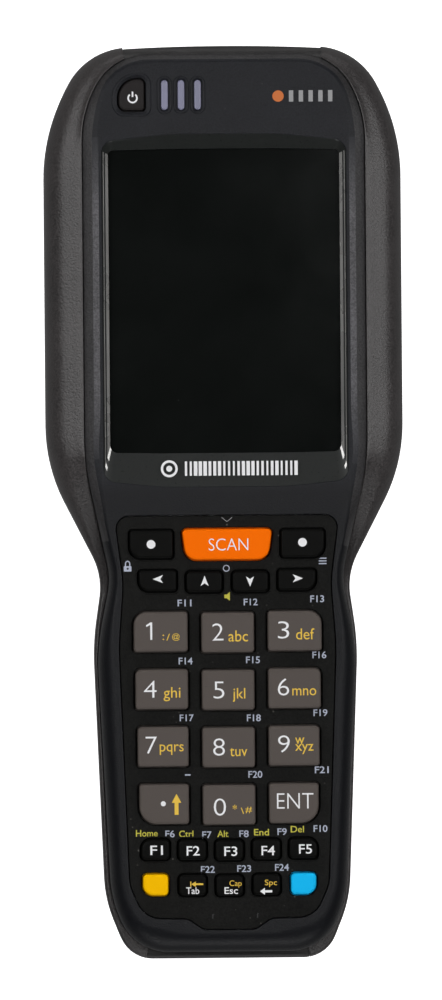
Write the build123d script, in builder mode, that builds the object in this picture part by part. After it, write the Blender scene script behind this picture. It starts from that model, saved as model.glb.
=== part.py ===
from build123d import *
import os
from typing import NamedTuple

# A rugged handheld data terminal lying on its back. A wide display head narrows
# to a keypad handle. X runs across it, +Y towards the scanning end, and +Z out of
# the display. The origin is under the middle of the case, on the surface it lies on.
# All sizes are millimetres.

# ---------------------------------------------------------------- driving sizes
HALF_LENGTH = 105.0
TAIL_Y = -105.4           # end of the bumpers and the dock bezel
HEAD_HALF_WIDTH = 41.1
FACE_Z = 41.0           # front face of the cover
PARTING_Z = 24.0        # where the rear housing meets the front cover
GRIP_Z = 8.0            # underside of the handle, above the surface
HOUSING_INSET = 2.2     # how far the rear housing lies inside the bumpers
REAR_WALL = 2.2
COVER_WALL = 3.0
HEAD_STEP_Z = 34.0      # top of the wide part of the front cover, under the bumpers
COVER_ROOF_Z = 39.0     # underside of the cover's top wall
MAT_TOP_Z, MAT_Z = 40.6, 38.6
LEDGE_Z, LEDGE_WIDTH = 37.0, 0.9
GASKET_THICKNESS = 0.5
GLASS_THICKNESS = 1.8
GLASS_TOP_Z = COVER_ROOF_Z - GASKET_THICKNESS
WINDOW_MIDDLE_Y = 46.3
GLASS_SIZE, LCD_SIZE = (57.8, 75.4), (54.6, 75.0)
FRAME_TOP_Z, FRAME_Z = 31.6, 29.6
KEYPAD_BOARD_TOP_Z = 33.2
DOME_TOP_Z = 33.5
MAIN_BOARD_TOP_Z, MAIN_BOARD_Z = 27.6, 26.0
POWER_SWITCH_TOP_Z = MAIN_BOARD_TOP_Z + 1.6
KEY_TRAVEL, POWER_TRAVEL = 0.9, 0.6
KEY_GAP = 0.35          # between a key and the mat round it
FLANGE_GAP = 0.3        # between a key's flange and the mat over it
FLANGE_THICKNESS, FLANGE_GROW = 1.0, 0.4
STEM_GAP = 0.15         # left under a key's stem when it is pressed fully
STEM_RADIUS, DOME_RADIUS = 1.25, 2.0

# Seen from the side, the bumpers are tall on the head and low on the handle.
BUMPER_TOP_Z, BUMPER_LOW_Z = 40.0, 10.0
HANDLE_BUMPER_TOP_Z, HANDLE_BUMPER_LOW_Z = 26.5, 14.0
BUMPER_GAP = 0.15       # between a bumper and the cover or an end piece

# Corner points of the right half of each outline, from the scanning end to the tail,
# each with the radius of its corner. The left half is the mirror of the right.
BODY_OUTLINE = [
    ((31.0, HALF_LENGTH), 16), ((HEAD_HALF_WIDTH, 86.0), 44), ((HEAD_HALF_WIDTH, 8.6), 40),
    ((28.2, -16.9), 16), ((30.5, -32.5), 60), ((28.2, -92.0), 30), ((22.8, TAIL_Y), 8),
]
COVER_OUTLINE = [
    ((25.5, 103.1), 14), ((32.5, 89.5), 26), ((32.5, 9.0), 60),
    ((26.6, -17.5), 17), ((29.8, -33.6), 50), ((27.0, -91.0), 28), ((22.0, -103.5), 12),
]
MAT_OUTLINE = [
    ((25.9, -3.0), 3), ((23.9, -18.5), 30), ((25.0, -33.0), 60), ((23.0, -88.0), 10),
    ((19.6, -95.6), 6), ((9.6, -95.8), 3), ((6.0, -98.3), 3),
]
RECESS_OUTLINE = [((12.0, 84.6), 60), ((28.1, 83.0), 3), ((28.1, 5.0), 3), ((14.0, 3.6), 60)]
WINDOW_OUTLINE = [((12.0, 81.3), 60), ((26.6, 81.0), 1.2), ((26.6, 11.5), 1.8), ((14.0, 11.3), 60)]
WINDOW_Z = 39.6         # foot of the slopes round the display

HEAD_SCREWS = [(30.5, 79.0), (-30.5, 79.0), (30.5, 20.5), (-30.5, 20.5)]
TAIL_SCREWS = [(20.5, -95.0), (-20.5, -95.0)]
SCREW_POINTS = HEAD_SCREWS + TAIL_SCREWS
SCREW_SEAT_Z, SCREW_TIP_Z = 12.2, 29.7
SCREW_HEAD_RADIUS, SCREW_HEAD_HEIGHT, SCREW_RADIUS = 2.7, 2.2, 1.3
POST_RADIUS, COVER_POST_RADIUS = 4.4, 2.8

UPPER_BAR_Y, LOWER_BAR_Y = 20.0, -94.6
BAR_RADIUS, BAR_LENGTH, BAR_Z = 1.5, 30.0, 2.4
STRAP_POCKET = (26.0, 9.0, 7.0)

DOOR_HALF_WIDTH, DOOR_TAIL_Y, DOOR_THICKNESS = 20.0, -81.0, 2.2
HINGE_Y, HINGE_Z = -9.0, 10.0
BARREL_RADIUS, LUG_RADIUS, PIN_RADIUS = 2.0, 1.8, 0.7
LUG_INNER_X, LUG_WIDTH = 12.4, 3.2
OPENING_CLEARANCE = 0.35
HINGE_OPENING_Y = -6.5
LATCH_TRAVEL = 3.0
LATCH_PAD = (15.0, 8.0)
LATCH_NECK = (6.0, 4.0)
LATCH_PLATE = (12.0, 9.5)
LATCH_Y = -73.5         # middle of the thumb pad when the door is locked
LATCH_NECK_Y = LATCH_Y - 1.5
LATCH_PLATE_TAIL_Y = -79.0
DOOR_INNER_Z = GRIP_Z + DOOR_THICKNESS
SPRING_WIRE, SPRING_RADIUS, SPRING_PITCH = 0.16, 0.75, 1.1
SPRING_STOP_Y = -63.2
SPRING_START_Y = LATCH_PLATE_TAIL_Y + LATCH_PLATE[1] + 0.2
SPRING_END_Y = SPRING_STOP_Y - 0.2

BATTERY_SIZE, BATTERY_Y, BATTERY_Z = (39.0, 67.6, 16.1), -45.2, 13.1
ENGINE_SIZE, ENGINE_Y = (26.0, 14.0, 15.5), 91.0
ENGINE_FACE_Y = ENGINE_Y + ENGINE_SIZE[1] / 2
BATTERY_FRONT_Y = BATTERY_Y + BATTERY_SIZE[1] / 2
SPEAKER_AT, SPEAKER_RADIUS = (0.0, 58.0), 10.0
SPEAKER_SLOT, SLOT_PITCH, SLOT_COUNT = (15.0, 1.6), 3.4, 5
LABEL_PANEL, LABEL_Y, LABEL_DEPTH = (46.0, 16.0), 38.0, 0.4
CAN_POINTS, CAN_SIZE, CAN_WALL = [(-14.0, 26.0), (15.0, 30.0)], (22.0, 26.0, 3.2), 0.4
CELL_AT, CELL_RADIUS, CELL_HEIGHT = (-20.0, 66.0), 6.2, 3.2

NOSE_HALF_WIDTH, TAIL_HALF_WIDTH = 22.8, 18.8
NOSE_Z, NOSE_HEIGHT, NOSE_ROUND = 5.0, 33.5, 2.3
NOSE_ARCH_RADIUS = 400.0    # the end face is slightly bowed
DOCK_BEZEL_Z, DOCK_BEZEL_HEIGHT = 7.0, 19.0
SCAN_OPENING = (34.0, 16.0)
SCAN_Z = 17.5
DOCK_SIZE = (24.0, 7.0)
DOCK_Z = 15.5
CONTACT_COUNT, CONTACT_PITCH, CONTACT_WIDTH = 12, 1.6, 0.8

LIGHT_X = [-13.5, -9.7, -5.9]
LIGHT_Y, LIGHT_SIZE = 93.6, (1.7, 7.0)


UP = (Align.CENTER, Align.CENTER, Align.MIN)      # stands on its place
DOWN = (Align.CENTER, Align.CENTER, Align.MAX)    # hangs from its place


class Key(NamedTuple):
    """One key: its node name, middle, size, corner radii from top left clockwise, and top."""

    name: str
    x: float
    y: float
    width: float
    height: float
    corners: tuple
    top: float
    taper: float = 0.0


# ---------------------------------------------------------------- key layout
NUMBER_TOP, SMALL_TOP, COLOUR_TOP = 42.3, 41.5, 41.9
NUMBER_PITCH_Y, FIRST_ROW_Y = 13.19, -29.7
INNER_EDGE, ROW_DROP = 9.2, 0.25
MIDDLE_WIDTH, NUMBER_HEIGHT = 12.1, 9.1
FUNCTION_PITCH_X, FUNCTION_Y, LAST_ROW_Y = 8.5, -80.0, -88.1
SHARP, SOFT = 0.7, 1.0

NUMBER_ROWS = [
    (("key_1", "key_2", "key_3"), 21.6, (3.0, SHARP, SHARP, SHARP)),
    (("key_4", "key_5", "key_6"), 21.3, (1.4, SHARP, SHARP, SHARP)),
    (("key_7", "key_8", "key_9"), 20.9, (SOFT, SHARP, SHARP, SHARP)),
    (("key_point", "key_0", "key_enter"), 20.6, (SHARP, SHARP, SHARP, 4.0)),
]


def mirrored_corners(corners):
    """The corner radii of a key's mirror image."""
    top_left, top_right, bottom_right, bottom_left = corners
    return (top_right, top_left, bottom_left, bottom_right)


def number_keys():
    """The twelve large keys, whose outer columns narrow towards the tail."""
    keys = []
    for row, (names, outer, corners) in enumerate(NUMBER_ROWS):
        y = FIRST_ROW_Y - row * NUMBER_PITCH_Y
        x, width = (outer + INNER_EDGE) / 2, outer - INNER_EDGE
        left, middle, right = names
        keys.append(Key(left, -x, y, width, NUMBER_HEIGHT, corners, NUMBER_TOP))
        keys.append(Key(middle, 0, y - ROW_DROP, MIDDLE_WIDTH, NUMBER_HEIGHT, (SHARP,) * 4, NUMBER_TOP))
        keys.append(Key(right, x, y, width, NUMBER_HEIGHT, mirrored_corners(corners), NUMBER_TOP))
    return keys


def function_keys():
    """The row of five function keys and the last row, which starts and ends in colour."""
    keys = []
    names = ["key_f1", "key_f2", "key_f3", "key_f4", "key_f5"]
    for i, name in enumerate(names):
        lift = 0.15 * abs(i - 2)
        corners = {0: (2.2, SOFT, SOFT, SOFT), 4: (SOFT, 2.2, SOFT, SOFT)}.get(i, (SOFT,) * 4)
        keys.append(
            Key(name, (i - 2) * FUNCTION_PITCH_X, FUNCTION_Y + lift, 6.5, 4.7, corners, SMALL_TOP)
        )
    names = ["key_yellow", "key_tab", "key_escape", "key_back", "key_blue"]
    for i, name in enumerate(names):
        lift = 0.15 * abs(i - 2)
        x, y = (i - 2) * FUNCTION_PITCH_X, LAST_ROW_Y + lift
        if i in (0, 4):
            corners = (SOFT, SOFT, SOFT, 2.4)
            if i == 4:
                corners = mirrored_corners(corners)
            keys.append(Key(name, x, y, 5.8, 4.8, corners, COLOUR_TOP))
        else:
            keys.append(Key(name, x, y, 6.3, 4.8, (SOFT,) * 4, SMALL_TOP))
    return keys


def scan_and_arrow_keys():
    """The wide scan key with a soft key each side, and the four arrow keys under it."""
    outer_soft = (SHARP, SHARP, SHARP, 2.6)
    outer_arrow = (SHARP, SHARP, SHARP, 2.4)
    middle = (SOFT,) * 4
    return [
        Key("scan_key", 0, -9.7, 21.2, 7.0, (SOFT, SOFT, 2.8, 2.8), NUMBER_TOP, 1.0),
        Key("soft_key_left", -17.4, -9.6, 10.0, 6.4, outer_soft, SMALL_TOP),
        Key("soft_key_right", 17.4, -9.6, 10.0, 6.4, mirrored_corners(outer_soft), SMALL_TOP),
        Key("arrow_left", -16.0, -18.0, 8.7, 4.8, outer_arrow, SMALL_TOP),
        Key("arrow_up", -5.3, -18.3, 8.3, 4.8, middle, SMALL_TOP),
        Key("arrow_down", 5.3, -18.3, 8.3, 4.8, middle, SMALL_TOP),
        Key("arrow_right", 16.0, -18.0, 8.7, 4.8, mirrored_corners(outer_arrow), SMALL_TOP),
    ]


KEYS = scan_and_arrow_keys() + number_keys() + function_keys()
POWER_KEY = Key("power_button", -21.1, 93.7, 5.9, 7.1, (4.2, 1.2, SHARP, 1.6), 41.3)


# ---------------------------------------------------------------- shared helpers
def closed_outline(half, grow=0.0):
    """The face inside a whole outline, grown by a margin, or shrunk by a negative one."""
    right = [point for point, _ in half]
    radii = [radius for _, radius in half]
    left = [(-x, y) for x, y in reversed(right)]
    with BuildSketch() as drawn:
        with BuildLine():
            FilletPolyline(*right, *left, radius=radii + radii[::-1], close=True)
        make_face()
        if grow:
            offset(amount=grow, mode=Mode.REPLACE)
    return drawn.sketch


def key_outline(key, grow=0.0):
    """The face of a key seen from above, at its place, grown by a margin."""
    half_w, half_h = key.width / 2 + grow, key.height / 2 + grow
    low_w = half_w - key.taper
    points = [(-half_w, half_h), (half_w, half_h), (low_w, -half_h), (-low_w, -half_h)]
    with BuildSketch() as drawn:
        with BuildLine():
            FilletPolyline(*points, radius=[r + grow for r in key.corners], close=True)
        make_face()
    return drawn.sketch.moved(Location((key.x, key.y, 0)))


def keep(part, name):
    """Labels a finished piece and writes its file."""
    part.label = name
    export_step(part, f"parts/{name}.step")


os.makedirs("parts", exist_ok=True)

body_face = closed_outline(BODY_OUTLINE)
tub_face = closed_outline(BODY_OUTLINE, -HOUSING_INSET)
tub_inner_face = closed_outline(BODY_OUTLINE, -HOUSING_INSET - REAR_WALL)
seal_outer_face = closed_outline(BODY_OUTLINE, -HOUSING_INSET - 0.6)
seal_inner_face = closed_outline(BODY_OUTLINE, -HOUSING_INSET - 1.6)
cover_face = closed_outline(COVER_OUTLINE)
cover_inner_face = closed_outline(COVER_OUTLINE, -COVER_WALL)
mat_face = closed_outline(MAT_OUTLINE)
window_face = closed_outline(WINDOW_OUTLINE)
recess_face = closed_outline(RECESS_OUTLINE)

# ---------------------------------------------------------------- solids used as tools
with BuildPart() as grip_hollow:
    with BuildSketch(Plane.YZ):
        with BuildLine():
            FilletPolyline((20, -4), (-4, GRIP_Z), (-83, GRIP_Z), (-91.8, -4), radius=[16, 6])
            Line((-91.8, -4), (20, -4))
        make_face()
    extrude(amount=60, both=True)

with BuildPart() as seal_ring:
    with BuildSketch(Plane.XY.offset(PARTING_Z - 1)):
        add(seal_outer_face)
        add(seal_inner_face, mode=Mode.SUBTRACT)
    extrude(amount=1)

# The room inside the rear housing, less its screw posts and the walls of the strap pockets.
with BuildPart() as cavity:
    with BuildSketch(Plane.XY.offset(REAR_WALL)):
        add(tub_inner_face)
    extrude(amount=PARTING_Z - REAR_WALL)
    add(grip_hollow.part.moved(Location((0, 0, REAR_WALL))), mode=Mode.SUBTRACT)
    with Locations(*[(x, y, 0) for x, y in SCREW_POINTS]):
        Cylinder(POST_RADIUS, PARTING_Z, align=UP, mode=Mode.SUBTRACT)
    with Locations((0, UPPER_BAR_Y, 0), (0, LOWER_BAR_Y, 0)):
        Box(
            STRAP_POCKET[0] + 6, STRAP_POCKET[1] + 3, STRAP_POCKET[2] + 2,
            align=UP, mode=Mode.SUBTRACT,
        )

# ---------------------------------------------------------------- rear housing
with BuildPart() as rear_housing:
    with BuildSketch():
        add(tub_face)
    extrude(amount=PARTING_Z)
    fillet(rear_housing.edges().group_by(Axis.Z)[0], radius=4.5)
    add(grip_hollow.part, mode=Mode.SUBTRACT)
    handle_edges = [
        edge
        for edge in rear_housing.edges()
        if 0.05 < edge.center().Z < GRIP_Z + 0.5
        and abs(edge.center().X) > 20
        and -91 < edge.center().Y < 8
        and edge.length > 2
    ]
    fillet(handle_edges, radius=3.0)
    add(cavity.part, mode=Mode.SUBTRACT)
    add(seal_ring.part, mode=Mode.SUBTRACT)
    with Locations((0, UPPER_BAR_Y, 0), (0, LOWER_BAR_Y, 0)):
        Box(*STRAP_POCKET, align=UP, mode=Mode.SUBTRACT)
    with Locations((0, UPPER_BAR_Y, BAR_Z), (0, LOWER_BAR_Y, BAR_Z)):
        Cylinder(BAR_RADIUS, BAR_LENGTH, rotation=(0, 90, 0), mode=Mode.SUBTRACT)
    with Locations(*[(x, y, 0) for x, y in SCREW_POINTS]):
        Cylinder(3.0, SCREW_SEAT_Z, align=UP, mode=Mode.SUBTRACT)
        Cylinder(1.45, PARTING_Z, align=UP, mode=Mode.SUBTRACT)
    # battery opening under the handle, square at the hinge and rounded at the tail
    opening_half = DOOR_HALF_WIDTH + OPENING_CLEARANCE
    opening_tail = DOOR_TAIL_Y - OPENING_CLEARANCE
    with BuildSketch(Plane.XY.offset(GRIP_Z - 1)):
        with Locations((0, (HINGE_OPENING_Y + opening_tail) / 2)):
            RectangleRounded(2 * opening_half, HINGE_OPENING_Y - opening_tail, 2.0)
        with Locations((0, HINGE_OPENING_Y)):
            Rectangle(2 * opening_half, 20, align=(Align.CENTER, Align.MAX))
    extrude(amount=4, mode=Mode.SUBTRACT)
    for lug_x in (LUG_INNER_X, -LUG_INNER_X - LUG_WIDTH):
        with BuildSketch(Plane.YZ.offset(lug_x)):
            with Locations((HINGE_Y, HINGE_Z)):
                Circle(LUG_RADIUS)
                Rectangle(3.4, 2 * LUG_RADIUS, align=(Align.MIN, Align.CENTER))
                Circle(PIN_RADIUS + 0.05, mode=Mode.SUBTRACT)
        extrude(amount=LUG_WIDTH)
    # speaker slots and a shallow panel for the rating label
    with BuildSketch():
        with Locations(SPEAKER_AT):
            with GridLocations(1, SLOT_PITCH, 1, SLOT_COUNT):
                SlotOverall(*SPEAKER_SLOT)
    extrude(amount=REAR_WALL, mode=Mode.SUBTRACT)
    with BuildSketch():
        with Locations((0, LABEL_Y)):
            RectangleRounded(*LABEL_PANEL, 1.5)
    extrude(amount=LABEL_DEPTH, mode=Mode.SUBTRACT)
    # scan opening and dock opening in the two end walls
    with Locations((0, HALF_LENGTH, SCAN_Z)):
        Box(SCAN_OPENING[0] - 5, 14, SCAN_OPENING[1] - 4, mode=Mode.SUBTRACT)
    with Locations((0, -HALF_LENGTH, DOCK_Z)):
        Box(DOCK_SIZE[0], 14, DOCK_SIZE[1], mode=Mode.SUBTRACT)
keep(rear_housing.part, "rear_housing")
keep(seal_ring.part, "housing_seal")

# ---------------------------------------------------------------- front cover
with BuildPart() as cover_block:
    with BuildSketch(Plane.XY.offset(PARTING_Z)):
        add(cover_face)
    extrude(amount=FACE_Z - PARTING_Z)
    fillet(cover_block.edges().group_by(Axis.Z)[-1], radius=3.4)
    with BuildSketch(Plane.XY.offset(PARTING_Z)):
        add(tub_face)
    extrude(amount=HEAD_STEP_Z - PARTING_Z)

with BuildPart() as front_cover:
    add(cover_block.part)
    with BuildSketch(Plane.XY.offset(PARTING_Z)):
        add(cover_inner_face)
    extrude(amount=COVER_ROOF_Z - PARTING_Z, mode=Mode.SUBTRACT)
    with BuildSketch(Plane.XY.offset(PARTING_Z)):
        add(tub_inner_face)
        with Locations((0, 53)):
            Rectangle(90, 110, mode=Mode.INTERSECT)
    extrude(amount=HEAD_STEP_Z - 2 - PARTING_Z, mode=Mode.SUBTRACT)
    # ledge that carries the keypad mat, and the opening over it
    with BuildSketch(Plane.XY.offset(LEDGE_Z)):
        offset(mat_face, amount=1.0)
    extrude(amount=COVER_ROOF_Z - LEDGE_Z)
    with BuildSketch(Plane.XY.offset(LEDGE_Z)):
        offset(mat_face, amount=-LEDGE_WIDTH)
    extrude(amount=FACE_Z - LEDGE_Z, mode=Mode.SUBTRACT)
    with BuildSketch(Plane.XY.offset(MAT_Z)):
        add(mat_face)
    extrude(amount=FACE_Z - MAT_Z, mode=Mode.SUBTRACT)
    # slopes down to the display window, and the window itself
    with BuildSketch(Plane.XY.offset(WINDOW_Z)):
        add(window_face)
    with BuildSketch(Plane.XY.offset(FACE_Z)):
        add(recess_face)
    loft(ruled=True, mode=Mode.SUBTRACT)
    with BuildSketch(Plane.XY.offset(COVER_ROOF_Z)):
        add(window_face)
        add(key_outline(POWER_KEY, KEY_GAP))
        with Locations(*[(x, LIGHT_Y) for x in LIGHT_X]):
            SlotOverall(LIGHT_SIZE[1], LIGHT_SIZE[0], rotation=90)
    extrude(amount=FACE_Z - COVER_ROOF_Z, mode=Mode.SUBTRACT)
    # posts that take the case screws
    with Locations(*[(x, y, PARTING_Z) for x, y in HEAD_SCREWS]):
        Cylinder(COVER_POST_RADIUS, HEAD_STEP_Z - 1 - PARTING_Z, align=UP)
    with Locations(*[(x, y, PARTING_Z) for x, y in TAIL_SCREWS]):
        Cylinder(COVER_POST_RADIUS, 7.0, align=UP)
    with Locations(*[(x, y, PARTING_Z) for x, y in SCREW_POINTS]):
        Cylinder(SCREW_RADIUS, 6.0, align=UP, mode=Mode.SUBTRACT)
keep(front_cover.part, "front_cover")

# ---------------------------------------------------------------- bumpers and end pieces
with BuildPart() as bumper_block:
    with BuildSketch(Plane.XY.offset(BUMPER_LOW_Z)):
        add(body_face)
    extrude(amount=BUMPER_TOP_Z - BUMPER_LOW_Z)
    fillet(bumper_block.edges().group_by(Axis.Z)[-1], radius=7.0)
    fillet(bumper_block.edges().group_by(Axis.Z)[0], radius=1.8)
    with BuildSketch(Plane.YZ):
        with BuildLine():
            FilletPolyline(
                (HALF_LENGTH + 5, BUMPER_TOP_Z + 5), (10, BUMPER_TOP_Z + 5),
                (10, BUMPER_TOP_Z), (-20, HANDLE_BUMPER_TOP_Z),
                (-HALF_LENGTH - 5, HANDLE_BUMPER_TOP_Z), (-HALF_LENGTH - 5, HANDLE_BUMPER_LOW_Z),
                (-12, HANDLE_BUMPER_LOW_Z), (4, 0), (HALF_LENGTH + 5, 0),
                radius=[1, 1, 20, 1, 1, 10, 1], close=False,
            )
            Line((HALF_LENGTH + 5, 0), (HALF_LENGTH + 5, BUMPER_TOP_Z + 5))
        make_face()
    extrude(amount=60, both=True, mode=Mode.INTERSECT)
    with BuildSketch():
        add(tub_face)
    extrude(amount=HEAD_STEP_Z, mode=Mode.SUBTRACT)
    with BuildSketch(Plane.XY.offset(PARTING_Z)):
        offset(cover_face, amount=BUMPER_GAP)
    extrude(amount=FACE_Z, mode=Mode.SUBTRACT)
    with Locations((0, HALF_LENGTH, 0)):
        Box(2 * (NOSE_HALF_WIDTH + BUMPER_GAP), 30, 100, mode=Mode.SUBTRACT)
    with Locations((0, -HALF_LENGTH, 0)):
        Box(2 * (TAIL_HALF_WIDTH + BUMPER_GAP), 30, 100, mode=Mode.SUBTRACT)
left_bumper, right_bumper = bumper_block.part.solids().sort_by(Axis.X)
keep(left_bumper, "bumper_left")
keep(right_bumper, "bumper_right")

with BuildPart() as window_frame:
    with BuildSketch(Plane.XY.offset(NOSE_Z)):
        add(body_face)
        with Locations((0, HALF_LENGTH)):
            Rectangle(2 * NOSE_HALF_WIDTH, 12, mode=Mode.INTERSECT)
    extrude(amount=NOSE_HEIGHT)
    front_edges = window_frame.faces().sort_by(Axis.Y)[-1].edges()
    fillet(front_edges.filter_by(Axis.X), radius=NOSE_ROUND)
    with BuildSketch():
        with Locations((0, HALF_LENGTH - NOSE_ARCH_RADIUS)):
            Circle(NOSE_ARCH_RADIUS)
    extrude(amount=FACE_Z, mode=Mode.INTERSECT)
    with BuildSketch():
        add(tub_face)
    extrude(amount=HEAD_STEP_Z, mode=Mode.SUBTRACT)
    with BuildSketch(Plane.XY.offset(PARTING_Z)):
        add(cover_face)
    extrude(amount=FACE_Z, mode=Mode.SUBTRACT)
    with BuildSketch(Plane.XZ.offset(-HALF_LENGTH - 1)):
        with Locations((0, SCAN_Z)):
            RectangleRounded(*SCAN_OPENING, 2.0)
    extrude(amount=6, mode=Mode.SUBTRACT)
keep(window_frame.part, "window_frame")

with BuildPart() as scan_window:
    with BuildSketch(Plane.XZ.offset(-HALF_LENGTH + 1.8)):
        with Locations((0, SCAN_Z)):
            RectangleRounded(*SCAN_OPENING, 2.0)
    extrude(amount=-1.0)
keep(scan_window.part, "scan_window")

with BuildPart() as dock_bezel:
    with BuildSketch(Plane.XY.offset(DOCK_BEZEL_Z)):
        add(body_face)
        with Locations((0, -HALF_LENGTH)):
            Rectangle(2 * TAIL_HALF_WIDTH, 12, mode=Mode.INTERSECT)
    extrude(amount=DOCK_BEZEL_HEIGHT)
    tail_edges = dock_bezel.faces().sort_by(Axis.Y)[0].edges()
    fillet(tail_edges.filter_by(Axis.X), radius=1.2)
    with BuildSketch():
        add(tub_face)
    extrude(amount=HEAD_STEP_Z, mode=Mode.SUBTRACT)
    with BuildSketch(Plane.XY.offset(PARTING_Z)):
        add(cover_face)
    extrude(amount=FACE_Z, mode=Mode.SUBTRACT)
    with BuildSketch(Plane.XZ.offset(HALF_LENGTH + 1)):
        with Locations((0, DOCK_Z)):
            RectangleRounded(DOCK_SIZE[0] + 2, DOCK_SIZE[1] + 2, 2.0)
    extrude(amount=-6, mode=Mode.SUBTRACT)
keep(dock_bezel.part, "dock_bezel")

with BuildPart() as dock_connector:
    with Locations((0, -HALF_LENGTH + 3.4, DOCK_Z)):
        Box(DOCK_SIZE[0], 4.0, DOCK_SIZE[1])
    with Locations((0, -HALF_LENGTH + 1.4, DOCK_Z)):
        with GridLocations(CONTACT_PITCH, 1, CONTACT_COUNT, 1):
            Box(CONTACT_WIDTH, 1.0, 4.0, mode=Mode.SUBTRACT)
    with Locations((0, -HALF_LENGTH + 1.7, DOCK_Z)):
        with GridLocations(CONTACT_PITCH, 1, CONTACT_COUNT, 1):
            Box(CONTACT_WIDTH, 0.4, 3.0)
keep(dock_connector.part, "dock_connector")

with BuildPart() as case_screws:
    with Locations(*[(x, y, SCREW_SEAT_Z) for x, y in SCREW_POINTS]):
        Cylinder(SCREW_RADIUS, SCREW_TIP_Z - SCREW_SEAT_Z, align=UP)
    with Locations(*[(x, y, SCREW_SEAT_Z) for x, y in SCREW_POINTS]):
        Cylinder(SCREW_HEAD_RADIUS, SCREW_HEAD_HEIGHT, align=DOWN)
    with BuildSketch(Plane.XY.offset(SCREW_SEAT_Z - SCREW_HEAD_HEIGHT)):
        with Locations(*SCREW_POINTS):
            Rectangle(3.0, 0.7)
            Rectangle(0.7, 3.0)
    extrude(amount=1.2, mode=Mode.SUBTRACT)
keep(case_screws.part, "case_screws")

with BuildPart() as strap_bars:
    with Locations((0, UPPER_BAR_Y, BAR_Z), (0, LOWER_BAR_Y, BAR_Z)):
        Cylinder(BAR_RADIUS, BAR_LENGTH, rotation=(0, 90, 0))
keep(strap_bars.part, "strap_bars")

# ---------------------------------------------------------------- display and keypad
with BuildPart() as display_gasket:
    with BuildSketch(Plane.XY.offset(COVER_ROOF_Z - GASKET_THICKNESS)):
        with Locations((0, WINDOW_MIDDLE_Y)):
            RectangleRounded(GLASS_SIZE[0], GLASS_SIZE[1], 2.0)
            RectangleRounded(GLASS_SIZE[0] - 3.6, GLASS_SIZE[1] - 3.6, 1.0, mode=Mode.SUBTRACT)
    extrude(amount=GASKET_THICKNESS)
keep(display_gasket.part, "display_gasket")

with BuildPart() as touch_glass:
    with BuildSketch(Plane.XY.offset(GLASS_TOP_Z - GLASS_THICKNESS)):
        with Locations((0, WINDOW_MIDDLE_Y)):
            RectangleRounded(*GLASS_SIZE, 2.0)
    extrude(amount=GLASS_THICKNESS)
keep(touch_glass.part, "touch_glass")

with BuildPart() as lcd_module:
    with Locations((0, WINDOW_MIDDLE_Y, FRAME_TOP_Z)):
        Box(*LCD_SIZE, GLASS_TOP_Z - GLASS_THICKNESS - FRAME_TOP_Z, align=UP)
    chamfer(lcd_module.edges().group_by(Axis.Z)[-1], length=0.5)
keep(lcd_module.part, "lcd_module")

with BuildPart() as keypad_mat:
    with BuildSketch(Plane.XY.offset(MAT_Z)):
        offset(mat_face, amount=-0.1)
    extrude(amount=MAT_TOP_Z - MAT_Z)
    fillet(keypad_mat.edges().group_by(Axis.Z)[-1], radius=0.5)
    with BuildSketch(Plane.XY.offset(MAT_Z)):
        for key in KEYS:
            add(key_outline(key, KEY_GAP))
    extrude(amount=MAT_TOP_Z - MAT_Z, mode=Mode.SUBTRACT)
keep(keypad_mat.part, "keypad_mat")

with BuildPart() as keypad_board:
    with BuildSketch(Plane.XY.offset(FRAME_TOP_Z)):
        offset(mat_face, amount=-1.5)
    extrude(amount=KEYPAD_BOARD_TOP_Z - FRAME_TOP_Z)
keep(keypad_board.part, "keypad_board")

with BuildPart() as dome_switches:
    with Locations(*[(key.x, key.y, KEYPAD_BOARD_TOP_Z) for key in KEYS]):
        Cylinder(DOME_RADIUS, DOME_TOP_Z - KEYPAD_BOARD_TOP_Z, align=UP)
    chamfer(dome_switches.edges().group_by(Axis.Z)[-1], length=0.2)
keep(dome_switches.part, "dome_switches")

with BuildPart() as light_pipes:
    with BuildSketch(Plane.XY.offset(FRAME_TOP_Z)):
        with Locations(*[(x, LIGHT_Y) for x in LIGHT_X]):
            SlotOverall(LIGHT_SIZE[1] - 0.1, LIGHT_SIZE[0] - 0.1, rotation=90)
    extrude(amount=FACE_Z + 0.15 - FRAME_TOP_Z)
    fillet(light_pipes.edges().group_by(Axis.Z)[-1], radius=0.3)
    with Locations((LIGHT_X[1], LIGHT_Y, COVER_ROOF_Z)):
        Box(11.5, 8.5, 1.2, align=DOWN)
keep(light_pipes.part, "light_pipes")


def make_key(key, travel, rest_z):
    """A key cap with a flange under it and a stem that reaches down to its switch."""
    flange_z = MAT_Z - FLANGE_GAP - FLANGE_THICKNESS
    stem_z = rest_z + travel + STEM_GAP
    with BuildPart() as cap:
        with BuildSketch(Plane.XY.offset(flange_z)):
            add(key_outline(key))
        extrude(amount=key.top - flange_z)
        fillet(cap.edges().group_by(Axis.Z)[-1], radius=0.55)
        with BuildSketch(Plane.XY.offset(flange_z)):
            add(key_outline(key, FLANGE_GROW))
        extrude(amount=FLANGE_THICKNESS)
        with Locations((key.x, key.y, stem_z)):
            Cylinder(STEM_RADIUS, flange_z - stem_z, align=UP)
    keep(cap.part, key.name)


for key in KEYS:
    make_key(key, KEY_TRAVEL, DOME_TOP_Z)
make_key(POWER_KEY, POWER_TRAVEL, POWER_SWITCH_TOP_Z)

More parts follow.
